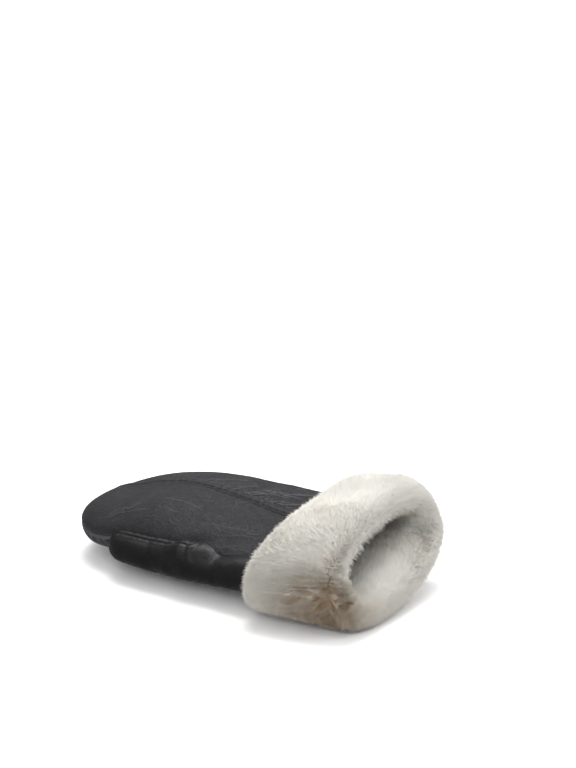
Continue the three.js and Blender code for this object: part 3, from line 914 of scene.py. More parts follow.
# The thumb. Its skin stands clear of the hand's, and past the crotch it opens into the hand.
THUMB_CLEAR = SEAM_GAP + 0.3
hand_clear = tool_object("hand_clear", *sock(HAND, -THUMB_CLEAR, end=LEATHER_LENGTH + OVERRUN))
beside_end = CROTCH_SETBACK + THUMB_CLEAR + LEATHER_WALL
hand_beside = tool_object("hand_beside", *sock(HAND, -THUMB_CLEAR - LEATHER_WALL, end=beside_end))
thumb_hollow = tool_object("thumb_hollow", *sock(THUMB, LEATHER_WALL, end=LEATHER_LENGTH + OVERRUN))
cut(thumb_hollow, hand_beside)
past_crotch = sock(THUMB, LEATHER_WALL, end=LEATHER_LENGTH + OVERRUN, start=beside_end)
thumb_hole = tool_object("thumb_hole", *past_crotch)
cut(palm, thumb_hole)
cut(back_thumb_side, thumb_hole)


def thumb_seam_y(x):
    return row_at(THUMB, x)["y"] - THUMB_SEAM_SHIFT * THUMB_WIDTH


def thumb_seam_distance(points):
    """Distance from the thumb's seam, which runs over the tip to the crotch and then across."""
    x, y = points[..., 0], points[..., 1]
    before = np.where(x < CROTCH_SETBACK, np.abs(y - thumb_seam_y(x)), np.inf)
    short_of = np.minimum(y - thumb_seam_y(CROTCH_SETBACK + 0 * x), 0)
    return np.minimum(before, np.hypot(x - CROTCH_SETBACK, short_of))


# Gathers of the thumb's skin where it is sewn to the hand: x, turn, reach along and around (mm), depth
GATHERS = (
    (134, 116, 3.2, 12, 0.35),
    (141, 112, 2.6, 12, -0.35),
    (147, 108, 1.6, 12, 0.5),
    (151, 104, 1.5, 12, -0.3),
    (155, 104, 1.4, 13, 0.4),
    (160, 106, 1.8, 13, -0.25),
    (165, 108, 1.8, 14, 0.35),
    (171, 112, 2.4, 14, -0.25),
    (112, 150, 4.0, 16, 0.35),
    (126, 160, 4.5, 18, -0.3),
    (176, 140, 5.0, 18, 0.35),
)

# Rings on the thumb's tip, rings along the rest and points a ring
THUMB_GRID = (34, 185, 128)


def thumb_relief(x, angle):
    """Height of the thumb's fine shape over the plain skin."""
    turn = np.degrees(angle)
    distance = thumb_seam_distance(surface_point(THUMB, x, angle, 0.0))
    per_degree = THUMB_WIDTH / DEGREES_PER_WIDTH
    height = 0.2 * noise(x, turn * per_degree, 9.0, 31) + 0.06 * noise(x, turn * per_degree, 4.5, 32)
    for at, around, reach, wide, depth in GATHERS:
        away_x = x - at - 0.25 * (turn - around) * per_degree
        away_y = (turn - around) * per_degree
        height = height - depth * np.exp(-((away_x / reach) ** 2) - (away_y / wide) ** 2)
    height = height - rolled_edge(distance * 1.15) + pucker(x, distance, 33, 0.6)
    height = height + 0.35 * bell(distance - 3.4, 1.3)
    return height * smoothstep(x, THUMB_TIP_SETBACK + 0.3, THUMB_TIP_SETBACK + 5)


def thumb_solid():
    x = cap_stations(THUMB, 0.0, *THUMB_GRID[:2])
    angle = np.linspace(0, 2 * math.pi, THUMB_GRID[2], endpoint=False)
    grid_x, grid_angle = np.meshgrid(x, angle, indexing="ij")
    points = surface_point(THUMB, grid_x, grid_angle, -thumb_relief(grid_x, grid_angle))
    return loft(points, tip_point(THUMB, 0.0), points[-1].mean(0))


def seam_prism(shift):
    """The space on the hand's side of the thumb's seam."""
    start = THUMB_TIP_SETBACK - OVERRUN
    end = CROTCH_SETBACK + shift
    x = np.linspace(start, end, 40)
    y = thumb_seam_y(x) - shift
    line = [(a, b) for a, b in zip(x, y)] + [(end, HAND_WIDTH), (start, HAND_WIDTH)]
    count = len(line)
    points = [(a, b, -OVERRUN) for a, b in line] + [(a, b, 2 * THUMB_HEIGHT) for a, b in line]
    faces = [tuple(range(count)), tuple(range(2 * count - 1, count - 1, -1))]
    faces += [(k, (k + 1) % count, count + (k + 1) % count, count + k) for k in range(count)]
    made = tool_object("seam_prism", np.array(points), faces)
    modifier = made.modifiers.new("triangles", "TRIANGULATE")
    modifier.min_vertices = 4
    apply_modifiers(made)
    return made


def thumb_panel(name, node_name, prism, operation):
    points, faces = thumb_solid()
    made = new_object(name, to_row_frame(points), faces, [thumb_leather])
    face_outwards(made)
    cut(made, hand_clear)
    cut(made, thumb_hollow)
    cut(made, prism, operation)
    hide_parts(node_name)
    return made


inner_prism = seam_prism(-SEAM_GAP / 2)
outer_prism = seam_prism(SEAM_GAP / 2)
thumb_inner = thumb_panel("thumb_leather_inner", "thumb_panel_inner", inner_prism, "INTERSECT")
thumb_outer = thumb_panel("thumb_leather_outer", "thumb_panel_outer", outer_prism, "DIFFERENCE")
remove(hand_clear, hand_beside, thumb_hollow, thumb_hole, inner_prism, outer_prism)

# Edges sharper than this, in degrees, are shaded as edges
SHARP_EDGE = 62
for panel in (back_outer, back_thumb_side, palm, thumb_inner, thumb_outer):
    mark_wear_and_shade(panel, THUMB_WEAR_AND_SHADE if panel in (thumb_inner, thumb_outer) else HAND_WEAR_AND_SHADE)
    sharpen(panel, SHARP_EDGE)
    smooth(panel.data)
    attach(panel, "root")

# Stitches, as small spindles that dip into the leather at both ends. A spindle's rings have a place along
# it, a radius (both as shares) and a lift in millimetres.
STITCH_LENGTH = 2.3
STITCH_RADIUS = 0.36
STITCH_SPACING = 3.3
STITCH_LIFT = 0.12
SPINDLE = ((-1.0, 0.0, -0.5), (-0.75, 0.7, -0.22), (0.0, 1.0, 0.08), (0.75, 0.7, -0.22), (1.0, 0.0, -0.5))
SPINDLE_SIDES = 6


def stitch_run(line, outward):
    """Places, directions and outward ways of stitches along a line of points."""
    steps = np.linalg.norm(np.diff(line, axis=0), axis=1)
    length = np.concatenate([[0], np.cumsum(steps)])
    at = np.arange(STITCH_SPACING / 2, length[-1], STITCH_SPACING)

    def along(values, where):
        return np.stack([np.interp(where, length, values[:, k]) for k in range(3)], 1)

    way = along(line, at + 0.8) - along(line, at - 0.8)
    return along(line, at), unit(way), unit(along(outward, at))


def stitches(name, runs):
    """The stitches of some seams, as one piece."""
    turn = 2 * math.pi * np.arange(SPINDLE_SIDES)[:, None] / SPINDLE_SIDES
    points, faces = [], []
    for place, way, up in runs:
        for p, w, u, v in zip(place, way, up, np.cross(up, way)):
            first = len(points)
            centres = [p + w * along * STITCH_LENGTH / 2 + u * lift for along, _, lift in SPINDLE]
            spokes = u * np.cos(turn) + v * np.sin(turn)
            rings = [c + spokes * (ring[1] * STITCH_RADIUS) for c, ring in zip(centres, SPINDLE)]
            spindle, spindle_faces = loft(np.array(rings[1:-1]), centres[0], centres[-1])
            points.extend(spindle)
            faces += [tuple(first + corner for corner in face) for face in spindle_faces]
    made = new_object(name, to_row_frame(np.array(points)), faces, [thread_black])
    face_outwards(made)
    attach(made, "root")


def raised_line(form, x, angle, height):
    """A line just over a form's relief, and the way out from it."""
    line = surface_point(form, x, angle, -height - STITCH_LIFT)
    return line, surface_point(form, x, angle, -height - STITCH_LIFT - 1) - line


def panel_line(panel, from_near, distance, x_low, x_high):
    """A line on a panel of the hand at a distance from one of its edges."""
    x, angle, near, far = PANEL_GRIDS[panel]
    edge = near if from_near else far[:, ::-1]
    turns = angle if from_near else angle[:, ::-1]
    keep = (x >= x_low) & (x <= x_high)
    found = np.array([np.interp(distance, edge[r], turns[r]) for r in np.nonzero(keep)[0]])
    total = (near + far)[keep, 0]
    near_at = distance + 0 * total if from_near else total - distance
    return raised_line(HAND, x[keep], found, hand_relief(panel, x[keep], found, near_at, total - near_at))


def thumb_line(distance, x_low, x_high):
    """A line on the thumb's skin beside its seam."""
    x = np.linspace(x_low, x_high, 120)
    angle = np.linspace(math.radians(20), math.radians(160), 281)
    skin = surface_point(THUMB, x[:, None], angle[None, :], 0.0)
    away = skin[..., 1] - thumb_seam_y(x)[:, None]
    found = np.array([np.interp(distance, -away[r], angle) for r in range(len(x))])
    return raised_line(THUMB, x, found, thumb_relief(x, found))


# How far the stitches lie from the edges of the leather
SIDE_STITCH = 2.4
THUMB_STITCH = 1.7
welt_line = panel_line("outer", False, WELT_WIDTH + CHANNEL_GAP, 22, LEATHER_SHOWING)
near_side_line = panel_line("thumb_side", False, SIDE_STITCH, 4, CROTCH_SETBACK - 8)
far_side_line = panel_line("outer", True, SIDE_STITCH, 4, LEATHER_SHOWING)
seam_line = thumb_line(THUMB_STITCH, THUMB_TIP_SETBACK + 6, CROTCH_SETBACK - 5)
stitches("welt_stitches", [stitch_run(*welt_line)])
stitches("side_stitches", [stitch_run(*near_side_line), stitch_run(*far_side_line)])
stitches("thumb_stitches", [stitch_run(*seam_line)])

# The turned cuff's wool, as a profile that runs from its edge over the leather, over the outside, around
# the rim and into the mouth. out is the height over the hand's surface.
PROFILE_POINTS = 240
ROUND_POINTS = 24
MOUTH_REACH = 80.0
SKIN_DEPTH = 3.6


def cuff_profile():
    """Lengths along the profile, and the x and out of each."""
    turn = np.linspace(0, math.pi / 2, ROUND_POINTS)
    low = CUFF_THICKNESS / 3
    edge_x = LEATHER_SHOWING + CUFF_EDGE_ROUND * (1 - np.cos(turn))
    edge_out = low + (CUFF_THICKNESS - low) * rounded_end(edge_x - LEATHER_SHOWING, CUFF_EDGE_ROUND)
    roll_x = CUFF_END - RIM_DEPTH + RIM_DEPTH * np.sin(turn)
    around = rounded_end(CUFF_END - roll_x, RIM_DEPTH)
    roll_out = CREST + CREST_FLAT + (CUFF_THICKNESS - CREST - CREST_FLAT) * around
    lip = CREST - CREST_FLAT
    mouth_out = -(WOOL_INSIDE - (WOOL_INSIDE + lip) * (1 - around))
    mouth_end = LEATHER_LENGTH - MOUTH_REACH
    x = np.concatenate([[LEATHER_SHOWING + 0.3], edge_x, roll_x, roll_x[::-1], [mouth_end]])
    out = np.concatenate([[1.2], edge_out, roll_out, mouth_out[::-1], [-WOOL_INSIDE]])
    steps = np.hypot(np.diff(x), np.diff(out))
    keep = np.concatenate([[True], steps > 1e-6])
    x, out = x[keep], out[keep]
    length = np.concatenate([[0], np.cumsum(np.hypot(np.diff(x), np.diff(out)))])
    even = np.linspace(0, length[-1], PROFILE_POINTS)
    return even, np.interp(even, length, x), np.interp(even, length, out)


PROFILE_AT, PROFILE_X, PROFILE_OUT = cuff_profile()
PROFILE_LENGTH = PROFILE_AT[-1]
SLOPE_X = np.gradient(PROFILE_X, PROFILE_AT)
SLOPE_OUT = np.gradient(PROFILE_OUT, PROFILE_AT)
# The outside ends and the mouth begins at the rim's crest
CREST_AT = PROFILE_AT[int(np.argmax(PROFILE_X))]
CUFF_GIRTH = 430.0

# The parting, where the wool opens at the rim's near corner: x and turn of its course
PARTING = ((287, 152), (281, 166), (277, 180), (274, 192), (272, 203))
PARTING_WIDTH = 5.0
PARTING_DEPTH = 5.0
PARTING_CENTRE = 2

# How far the lower wall's wool swells up into the mouth, and how far under the little finger's side it
# does so most
MOUTH_BULGE = 6.0
BULGE_TURN = math.radians(65)

# How much thinner the wool is over the mouth's upper lip, and how much fuller on the cuff's top
LIP_THINNING = 5.5
TOP_FULLNESS = 2.0

# The length from the cuff's edge over which its folds and lumps set in, and the lowest its wool may lie
EDGE_FADE = 12.0
WOOL_FLOOR = 0.3


def outside_at(x):
    """Place on the profile of an x on the cuff's outside."""
    outside = PROFILE_AT <= CREST_AT
    return np.interp(x, PROFILE_X[outside], PROFILE_AT[outside])


PARTING_LINE = [(float(outside_at(x)), turn * CUFF_GIRTH / 360) for x, turn in PARTING]
CENTRE_AT, CENTRE_AROUND = PARTING_LINE[PARTING_CENTRE]


def parting_distance(at, around):
    """Distance in millimetres from the parting's course."""
    best = np.full(np.broadcast(at, around).shape, 1e9)
    for (a, b), (c, d) in zip(PARTING_LINE, PARTING_LINE[1:]):
        best = np.minimum(best, segment_distance(at - a, around - b, c - a, d - b))
    return best


def cuff_noise(at, around, size, seed):
    return noise(at, around, size, seed, CUFF_GIRTH)


def cuff_angle(around):
    return around * 2 * math.pi / CUFF_GIRTH


def cuff_core(x):
    """The row of the hand's table with the thumb's root taken in."""
    row = row_at(HAND, np.minimum(x, LEATHER_LENGTH))
    root = row_at(THUMB, np.minimum(x, LEATHER_LENGTH))
    return {**row, "near": np.maximum(row["near"], root["near"] - root["y"])}


def cuff_point(at, around, depth):
    """A point of the wool at that depth under its surface. around is a length along the girth."""
    angle = cuff_angle(around)
    at = np.clip(at, 0, PROFILE_LENGTH)
    slope_x = np.interp(at, PROFILE_AT, SLOPE_X)
    slope_out = np.interp(at, PROFILE_AT, SLOPE_OUT)
    size = np.hypot(slope_x, slope_out)
    x = np.interp(at, PROFILE_AT, PROFILE_X)
    out = np.interp(at, PROFILE_AT, PROFILE_OUT)
    outside = 1 - smoothstep(at, CREST_AT - 6, CREST_AT + 6)
    inside = plateau(at, CREST_AT, CREST_AT + 16, CREST_AT + 50, PROFILE_LENGTH)
    near_lip = plateau(at, CREST_AT - 14, CREST_AT + 4, CREST_AT + 18, CREST_AT + 40)
    edge = smoothstep(at, 0, EDGE_FADE)
    above = np.maximum(np.sin(angle), 0)
    lumps = 0.6 * cuff_noise(at, around, 21.0, 41) + 0.25 * cuff_noise(at, around, 9.0, 42)
    furrow = PARTING_DEPTH * bell(parting_distance(at, around), PARTING_WIDTH)
    fold = edge * outside * fold_depth(CUFF, x, angle)
    hand_fold = (1 - outside) * fold_depth(HAND, LEATHER_LENGTH + 0 * at, angle)
    bulge = MOUTH_BULGE * inside * np.maximum(np.cos(angle + BULGE_TURN), 0)
    thin_lip = LIP_THINNING * near_lip * above
    crown = TOP_FULLNESS * edge * outside * above * (1 - near_lip)
    depth = depth + fold + hand_fold - lumps * edge + furrow - bulge + thin_lip - crown
    x = x - depth * (-slope_out / size)
    out = out - depth * (slope_x / size)
    row = row_at(HAND, np.minimum(x, LEATHER_LENGTH))
    near = row["near"] + (cuff_core(x)["near"] - row["near"]) * outside
    return section_point({**row, "near": near}, x, angle, -out, floor=WOOL_FLOOR)


def wool_place(at, around, depth):
    return to_row_frame(cuff_point(at, around, depth))


# Rings along the cuff's profile and points a ring of the dense wool, and its rings in the mouth
BACKING_GRID = (96, 300)
MOUTH_RINGS = 12


def cuff_backing():
    """The dense wool under the hairs' tips, as a closed ring around the leather's edge."""
    rows, columns = BACKING_GRID
    at = np.linspace(0, PROFILE_LENGTH, rows)
    around = np.linspace(0, CUFF_GIRTH, columns, endpoint=False)
    grid_at, grid_around = np.meshgrid(at, around, indexing="ij")
    crumb = 0.3 * cuff_noise(grid_at, grid_around, 3.0, 43) + 0.25 * cuff_noise(grid_at, grid_around, 1.6, 44)
    skin = cuff_point(grid_at, grid_around, SKIN_DEPTH * smoothstep(grid_at, -4, 5) - crumb)
    edge_x = LEATHER_LENGTH + SEAM_GAP
    under = [(LEATHER_SHOWING + 0.5, SEAM_GAP), (edge_x, SEAM_GAP), (edge_x, -LEATHER_WALL - 0.4)]
    step = MOUTH_REACH / MOUTH_RINGS
    under += [(LEATHER_LENGTH - k * step, -LEATHER_WALL - 0.9) for k in range(1, MOUTH_RINGS + 1)]
    angle = cuff_angle(around)
    closing = []
    for x, out in reversed(under):
        row = cuff_core(np.array(x)) if out > 0 else row_at(HAND, np.array(min(x, LEATHER_LENGTH)))
        fold = 0.0 if out > 0 else fold_depth(HAND, x, angle)
        closing.append(section_point(row, np.full(columns, x), angle, -out, fold, floor=0.2))
    everything = np.concatenate([skin, np.array(closing)])
    total = len(everything)
    faces = grid_faces(total, columns, 0, closed=True)
    last = (total - 1) * columns
    faces += [(last + c, last + (c + 1) % columns, (c + 1) % columns, c) for c in range(columns)]
    made = new_object("cuff_wool_backing", to_row_frame(everything.reshape(-1, 3)), faces, [backing_wool])
    face_outwards(made)
    # Painted shade: the dense wool darkens towards the parting's furrow
    shade = np.full((total, columns), 0.8)
    shade[:rows] -= 0.7 * bell(parting_distance(grid_at, grid_around), 3 * PARTING_WIDTH)
    point_attribute(made.data, "tone", shade)
    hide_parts("turned_cuff")
    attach(made, "root")


cuff_backing()


def clump_centre(at, around, size_at, size_around, seed):
    """The centre of the lock that a hair belongs to, and a value from 0 to 1 that its lock shares."""
    count = max(int(round(CUFF_GIRTH / size_around)), 1)
    size_around = CUFF_GIRTH / count
    cell_a = np.floor(at / size_at)
    cell_b = np.floor(around / size_around)
    best = np.full(at.shape, 1e9)
    found_at, found_around, value = at.copy(), around.copy(), 0 * at
    for da in (-1, 0, 1):
        for db in (-1, 0, 1):
            i = cell_a + da
            j = cell_b + db
            wrapped = j % count
            centre_a = (i + 0.15 + 0.7 * lattice_value(i, wrapped, seed)) * size_at
            centre_b = (j + 0.15 + 0.7 * lattice_value(i, wrapped, seed + 1)) * size_around
            away = ((at - centre_a) / size_at) ** 2 + ((around - centre_b) / size_around) ** 2
            nearer = away < best
            best = np.where(nearer, away, best)
            found_at = np.where(nearer, centre_a, found_at)
            found_around = np.where(nearer, centre_b, found_around)
            value = np.where(nearer, lattice_value(i, wrapped, seed + 2), value)
    return found_at, found_around, value


HAIR_POINTS = 4
HAIR_FACES = np.array([(0, 2, 1), (0, 1, 3), (1, 2, 3), (2, 0, 3)])


def hair_mesh(name, root, tip, width, tone_low, tone_high, normal):
    """Tapering three-sided hairs as one mesh of closed solids, with their tones from root to tip."""
    count = len(root)
    run = unit(tip - root)
    rng = np.random.default_rng(count)
    aside = unit(np.cross(run, rng.normal(size=(count, 3))))
    other = np.cross(run, aside)
    corners = []
    for k in range(3):
        turn = 2 * math.pi * k / 3
        corners.append(root + (aside * math.cos(turn) + other * math.sin(turn)) * width[:, None])
    points = np.stack([*corners, tip], 1).reshape(-1, 3)
    points[:, 2] = np.maximum(points[:, 2], 0)
    first = np.arange(count) * HAIR_POINTS
    indices = (HAIR_FACES[None] + first[:, None, None]).reshape(-1, 3)
    mesh = bpy.data.meshes.new(name)
    mesh.vertices.add(len(points))
    mesh.vertices.foreach_set("co", points.astype(np.float32).ravel())
    mesh.loops.add(indices.size)
    mesh.loops.foreach_set("vertex_index", indices.astype(np.int32).ravel())
    mesh.polygons.add(len(indices))
    mesh.polygons.foreach_set("loop_start", np.arange(0, indices.size, 3, dtype=np.int32))
    smooth(mesh)
    mesh.update(calc_edges=True)
    point_attribute(mesh, "tone", np.stack([tone_low, tone_low, tone_low, tone_high], 1))
    soft = np.repeat(normal, HAIR_POINTS, axis=0)
    mesh.normals_split_custom_set_from_vertices(soft.astype(np.float32))
    mesh.materials.append(wool)
    made = add_object(name, mesh)
    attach(made, "root")


def surface_normal(at, around):
    """The way out of the wool, which its hairs are shaded by."""
    step = 0.6
    a = wool_place(at + step, around, 0) - wool_place(at - step, around, 0)
    b = wool_place(at, around + step, 0) - wool_place(at, around - step, 0)
    normal = unit(np.cross(b, a))
    deeper = wool_place(at, around, 2.0) - wool_place(at, around, 0.0)
    normal[(normal * deeper).sum(-1) > 0] *= -1
    return normal


# Cells that hairs are dealt out to, the share of wool that the table presses flat (its height in metres)
# and how far around the parting hairs stand closer
ROOT_CELLS = (90, 200)
PRESSED_HEIGHT = 0.0012
PRESSED_SHARE = 0.15
CLOSER_REACH = 22.0


def spread_roots(count, at_low, at_high, around_low, around_high, seed):
    """Places on the cuff spread evenly by area, on a random draw with a fixed seed."""
    rng = np.random.default_rng(seed)
    rows, columns = ROOT_CELLS
    at = np.linspace(at_low, at_high, rows + 1)
    around = np.linspace(around_low, around_high, columns + 1)
    grid = wool_place(at[:, None], around[None, :], 0.0 * at[:, None])
    u = grid[1:, :-1] - grid[:-1, :-1]
    v = grid[:-1, 1:] - grid[:-1, :-1]
    area = np.linalg.norm(np.cross(u, v), axis=-1)
    heights = (grid[1:, :-1, 2] + grid[:-1, :-1, 2]) / 2
    away = np.hypot(at[:-1, None] - CENTRE_AT, around[None, :-1] - CENTRE_AROUND)
    pressed = np.where(heights < PRESSED_HEIGHT, PRESSED_SHARE, 1.0)
    area = area * pressed * (1 + 0.9 * bell(away, CLOSER_REACH))
    cell = rng.choice(rows * columns, size=count, p=area.ravel() / area.sum())
    at_found = at[cell // columns] + rng.random(count) * (at[1] - at[0])
    around_found = around[cell % columns] + rng.random(count) * (around[1] - around[0])
    return at_found, around_found, rng


# Cells of the wool's fine and wide locks, along and around (mm), and how far from the parting's centre
# the wool stands open
FINE_LOCK = (2.4, 2.2)
WIDE_LOCK = (10.0, 5.5)
OPEN_REACH = 33.0
# How far the open wool's tips lean away, along and around (mm)
OPEN_LEAN = (8.0, 7.0)
# Half width of a hair at its root and what chance adds to it, in metres
HAIR_WIDTH = 0.00046
HAIR_SPREAD = 0.00016
# How far past its edge the cuff's wool may reach over the leather, least and more by chance (mm)
EDGE_REACH = (0.8, 3.4)


def wool_band(name, count, at_low, at_high, around_low, around_high, seed):
    """Sheared wool over a part of the cuff: upright and even, but in loose locks near the parting."""
    at, around, rng = spread_roots(count, at_low, at_high, around_low, around_high, seed)
    away_at = at - CENTRE_AT
    away_around = around - CENTRE_AROUND
    away = np.hypot(away_at, away_around) + 1e-6
    open_wool = bell(away, OPEN_REACH)
    low_at, low_around = PARTING_LINE[-1]
    # Painted shade with some staining on the cuff's near side, around the parting's low end
    stain_and_shade = np.exp(-(((at - low_at) / 36) ** 2) - ((around - low_around) / 38) ** 2)

    # Tips lean away from the parting and sway a little
    sway = 1.3 * cuff_noise(at, around, 13.0, 47)
    drift = 0.9 * cuff_noise(at, around, 17.0, 48)
    tip_at = at + open_wool * OPEN_LEAN[0] * away_at / away + 0.5 * sway
    tip_around = around + open_wool * OPEN_LEAN[1] * away_around / away + drift + open_wool * 3 * sway

    # Then they are drawn to the middles of their locks
    fine_at, fine_around, fine_value = clump_centre(tip_at, tip_around, *FINE_LOCK, 51)
    wide_at, wide_around, wide_value = clump_centre(tip_at, tip_around, *WIDE_LOCK, 61)
    pull_fine = 0.08 + 0.12 * rng.random(count) + 0.35 * open_wool
    pull_wide = 0.85 * open_wool
    tip_at = tip_at + (fine_at - tip_at) * pull_fine
    tip_around = tip_around + (fine_around - tip_around) * pull_fine
    tip_at = tip_at + (wide_at - tip_at) * 0.5 * pull_wide
    tip_around = tip_around + (wide_around - tip_around) * pull_wide
    tip_at = tip_at + 0.6 * rng.normal(size=count)
    tip_around = tip_around + 0.6 * rng.normal(size=count)

    # How far each hair falls short of the surface, with a few that stand proud
    stray = rng.random(count) ** 5
    lip = bell(at - CREST_AT - 12, 12) * np.maximum(np.sin(cuff_angle(around)), 0)
    short = 1.1 * (rng.random(count) - 0.45) + 0.8 * (fine_value - 0.5) - (2.4 + 2.5 * lip) * stray
    short = short + open_wool * 3.0 * (wide_value - 0.45)
    root_place = cuff_point(at, around, SKIN_DEPTH + 1.0 + 2.0 * open_wool)
    tip_place = cuff_point(tip_at, tip_around, short)
    edge_reach = bell(at, CUFF_EDGE_ROUND) * (EDGE_REACH[0] + EDGE_REACH[1] * rng.random(count) ** 1.5)
    tip_place[:, 0] -= edge_reach
    tip_place[:, 2] -= 0.25 * edge_reach
    width = (HAIR_WIDTH + HAIR_SPREAD * rng.random(count)) * (1 + 0.35 * open_wool)

    # Painted shade between open locks, and painted shade with some staining at the parting's low end
    shade = 0.5 + 0.5 * cuff_noise(at, around, 7.0, 49)
    tone_low = 0.86 + 0.1 * rng.random(count) - 0.9 * np.maximum(open_wool, stain_and_shade)
    tone_high = 0.96 - 0.1 * rng.random(count) - 0.06 * shade - open_wool * (0.14 + 0.45 * (1 - wide_value))
    tones = np.clip([tone_low, tone_high - 0.7 * stain_and_shade], 0, 1)
    places = to_row_frame(root_place), to_row_frame(tip_place)
    hair_mesh(name, *places, width, *tones, surface_normal(at, around))


# Hairs on a quarter of the cuff's outside and of its mouth, and how far into the mouth they reach
CUFF_HAIRS = 23000
MOUTH_HAIRS = 11000
MOUTH_SEEN = CREST_AT + 66
QUARTER = CUFF_GIRTH / 4
CUFF_SEED = 71
MOUTH_SEED = 81
share = 1.0
for index in range(4):
    band = (index * QUARTER, (index + 1) * QUARTER)
    cuff_count, mouth_count = int(CUFF_HAIRS * share), int(MOUTH_HAIRS * share)
    wool_band(f"cuff_wool_{index + 1}", cuff_count, 0.0, CREST_AT, *band, CUFF_SEED + index)
    wool_band(f"mouth_wool_{index + 1}", mouth_count, CREST_AT, MOUTH_SEEN, *band, MOUTH_SEED + index)


def block(low, high):
    """A plain block between two corners in the mitten's own frame, for cutting."""
    points = [(x, y, z) for x in (low[0], high[0]) for y in (low[1], high[1]) for z in (low[2], high[2])]
    faces = [(0, 1, 3, 2), (4, 6, 7, 5), (0, 4, 5, 1), (2, 3, 7, 6), (0, 2, 6, 4), (1, 5, 7, 3)]
    return tool_object("block", np.array(points, float), faces)


# Past this place the cuff's own wool lines the mouth
mouth_block = block((LEATHER_LENGTH - MOUTH_REACH + 0.5, -120, -20), (CUFF_END + 90, 120, 140))


# The wool lining, from the solids' own surfaces, made even by a fine voxel grid (metres)
LINING_VOXEL = 0.0026
LINING_TONE = 0.85


def lining(name, node_name):
    made = add_object(name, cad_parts[node_name].data.copy())
    made.data.materials.clear()
    made.data.materials.append(backing_wool)
    remesh = made.modifiers.new("remesh", "REMESH")
    remesh.mode = "VOXEL"
    remesh.voxel_size = LINING_VOXEL
    apply_modifiers(made)
    cut(made, mouth_block)
    smooth(made.data)
    point_attribute(made.data, "tone", np.full(len(made.data.vertices), LINING_TONE))
    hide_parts(node_name)
    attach(made, "root")


lining("hand_lining_wool", "wool_lining")
lining("thumb_lining_wool", "thumb_lining")
remove(mouth_block)

# Camera at the photograph's viewing angle
CAMERA_AZIMUTH = 34.5
CAMERA_ELEVATION = 19.0
CAMERA_DISTANCE = 0.9
CAMERA_TARGET = Vector((0, 0, 0.04))
FOCAL_PIXELS = 1125.0
IMAGE_WIDTH, IMAGE_HEIGHT = 576, 768
TARGET_PIXEL = (239, 523)
SENSOR = 36.0


def make_camera():
    azimuth, elevation = math.radians(CAMERA_AZIMUTH), math.radians(CAMERA_ELEVATION)
    level = math.cos(elevation)
    back = Vector((math.sin(azimuth) * level, -math.cos(azimuth) * level, math.sin(elevation)))
    right = Vector((0, 0, 1)).cross(back).normalized()
    up = back.cross(right)
    data = bpy.data.cameras.new("camera")
    made = add_object("camera", data)
    place = CAMERA_TARGET + back * CAMERA_DISTANCE
    made.matrix_world = Matrix.Translation(place) @ Matrix((right, up, back)).transposed().to_4x4()
    data.sensor_fit = "VERTICAL"
    data.sensor_height = SENSOR
    data.lens = SENSOR * FOCAL_PIXELS / IMAGE_HEIGHT
    data.shift_x = (IMAGE_WIDTH / 2 - TARGET_PIXEL[0]) / IMAGE_HEIGHT
    data.shift_y = (TARGET_PIXEL[1] - IMAGE_HEIGHT / 2) / IMAGE_HEIGHT
    bpy.context.scene.camera = made


make_camera()


# Stage: a round pale floor that sweeps up into a wall, which is dimmer on the camera's side
FLOOR_RADIUS = 1.7
SWEEP_RADIUS = 1.2
WALL_HEIGHT = 3.4
STAGE_SIDES = 96
FLOOR_RINGS = 8
SWEEP_RINGS = 24
FLOOR_PALE = 0.9
WALL_DIM = 0.3


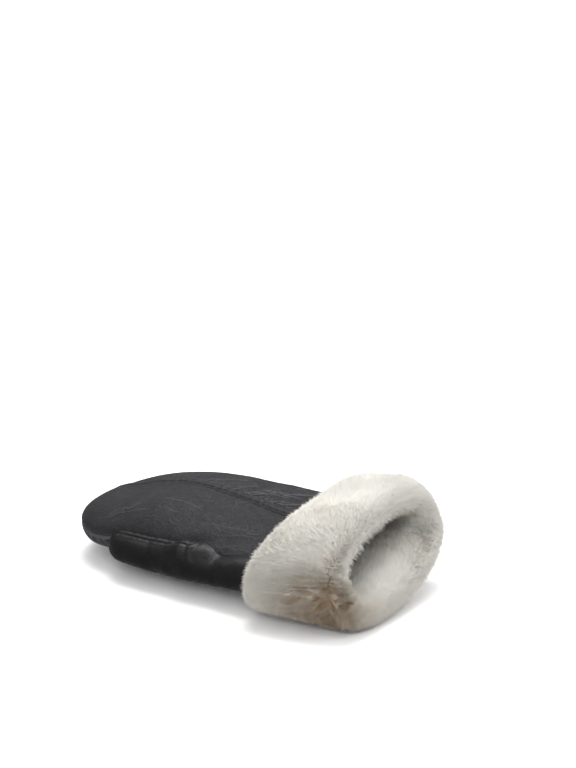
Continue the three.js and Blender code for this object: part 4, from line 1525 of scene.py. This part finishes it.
def make_stage():
    line = [(FLOOR_RADIUS * k / FLOOR_RINGS, 0.0) for k in range(1, FLOOR_RINGS + 1)]
    for k in range(1, SWEEP_RINGS + 1):
        turn = math.pi / 2 * k / SWEEP_RINGS
        line.append((FLOOR_RADIUS + SWEEP_RADIUS * math.sin(turn), SWEEP_RADIUS * (1 - math.cos(turn))))
    line.append((FLOOR_RADIUS + SWEEP_RADIUS, WALL_HEIGHT))
    points = [(0, 0, 0)]
    for radius, z in line:
        for k in range(STAGE_SIDES):
            turn = 2 * math.pi * k / STAGE_SIDES
            points.append((radius * math.cos(turn), radius * math.sin(turn), z))
    faces = [(0, 1 + k, 1 + (k + 1) % STAGE_SIDES) for k in range(STAGE_SIDES)]
    faces += [face[::-1] for face in grid_faces(len(line), STAGE_SIDES, 1, closed=True)]
    material, tree, shader = new_material("floor")
    tree.links.new(stored_value(tree, "pale"), shader.inputs["Base Color"])
    set_inputs(shader, {"Roughness": 0.85})
    floor = new_object("floor", points, faces, [material])
    place = np.array(points, float)
    radius = np.hypot(place[:, 0], place[:, 1])
    azimuth = math.radians(CAMERA_AZIMUTH)
    ahead = (place[:, 0] * math.sin(azimuth) - place[:, 1] * math.cos(azimuth)) / np.maximum(radius, 1e-6)
    dim = smoothstep(radius, FLOOR_RADIUS - 0.3, FLOOR_RADIUS + 0.8) * smoothstep(ahead, -0.3, 0.5)
    point_attribute(floor.data, "pale", FLOOR_PALE - (FLOOR_PALE - WALL_DIM) * dim)
    floor.visible_glossy = False


make_stage()

# Soft studio lights: place and target (metres), size (metres) and power (watts)
LIGHTS = {
    "top light": ((-0.25, -0.1, 1.6), (0, 0, 0.03), 2.0, 10.2),
    "side light": ((1.15, 0.7, 0.75), (0.05, 0, 0.03), 1.0, 11),
    "front light": ((0.35, -1.25, 0.8), (0.03, 0, 0.03), 1.2, 13),
    "backdrop light": ((-0.7, 1.0, 2.2), (-1.3, 1.9, 0.3), 1.6, 85),
}
SKY_STRENGTH = 0.25
for name, (place, target, size, energy) in LIGHTS.items():
    light = bpy.data.lights.new(name, "AREA")
    light.shape = "DISK"
    light.size = size
    light.energy = energy
    made = add_object(name, light)
    made.location = place
    made.rotation_euler = (Vector(target) - Vector(place)).to_track_quat("-Z", "Y").to_euler()
world = bpy.data.worlds.new("world")
world.use_nodes = True
set_inputs(world.node_tree.nodes["Background"], {"Color": colour((1, 1, 1)), "Strength": SKY_STRENGTH})
bpy.context.scene.world = world
bpy.context.scene.view_settings.view_transform = "Standard"
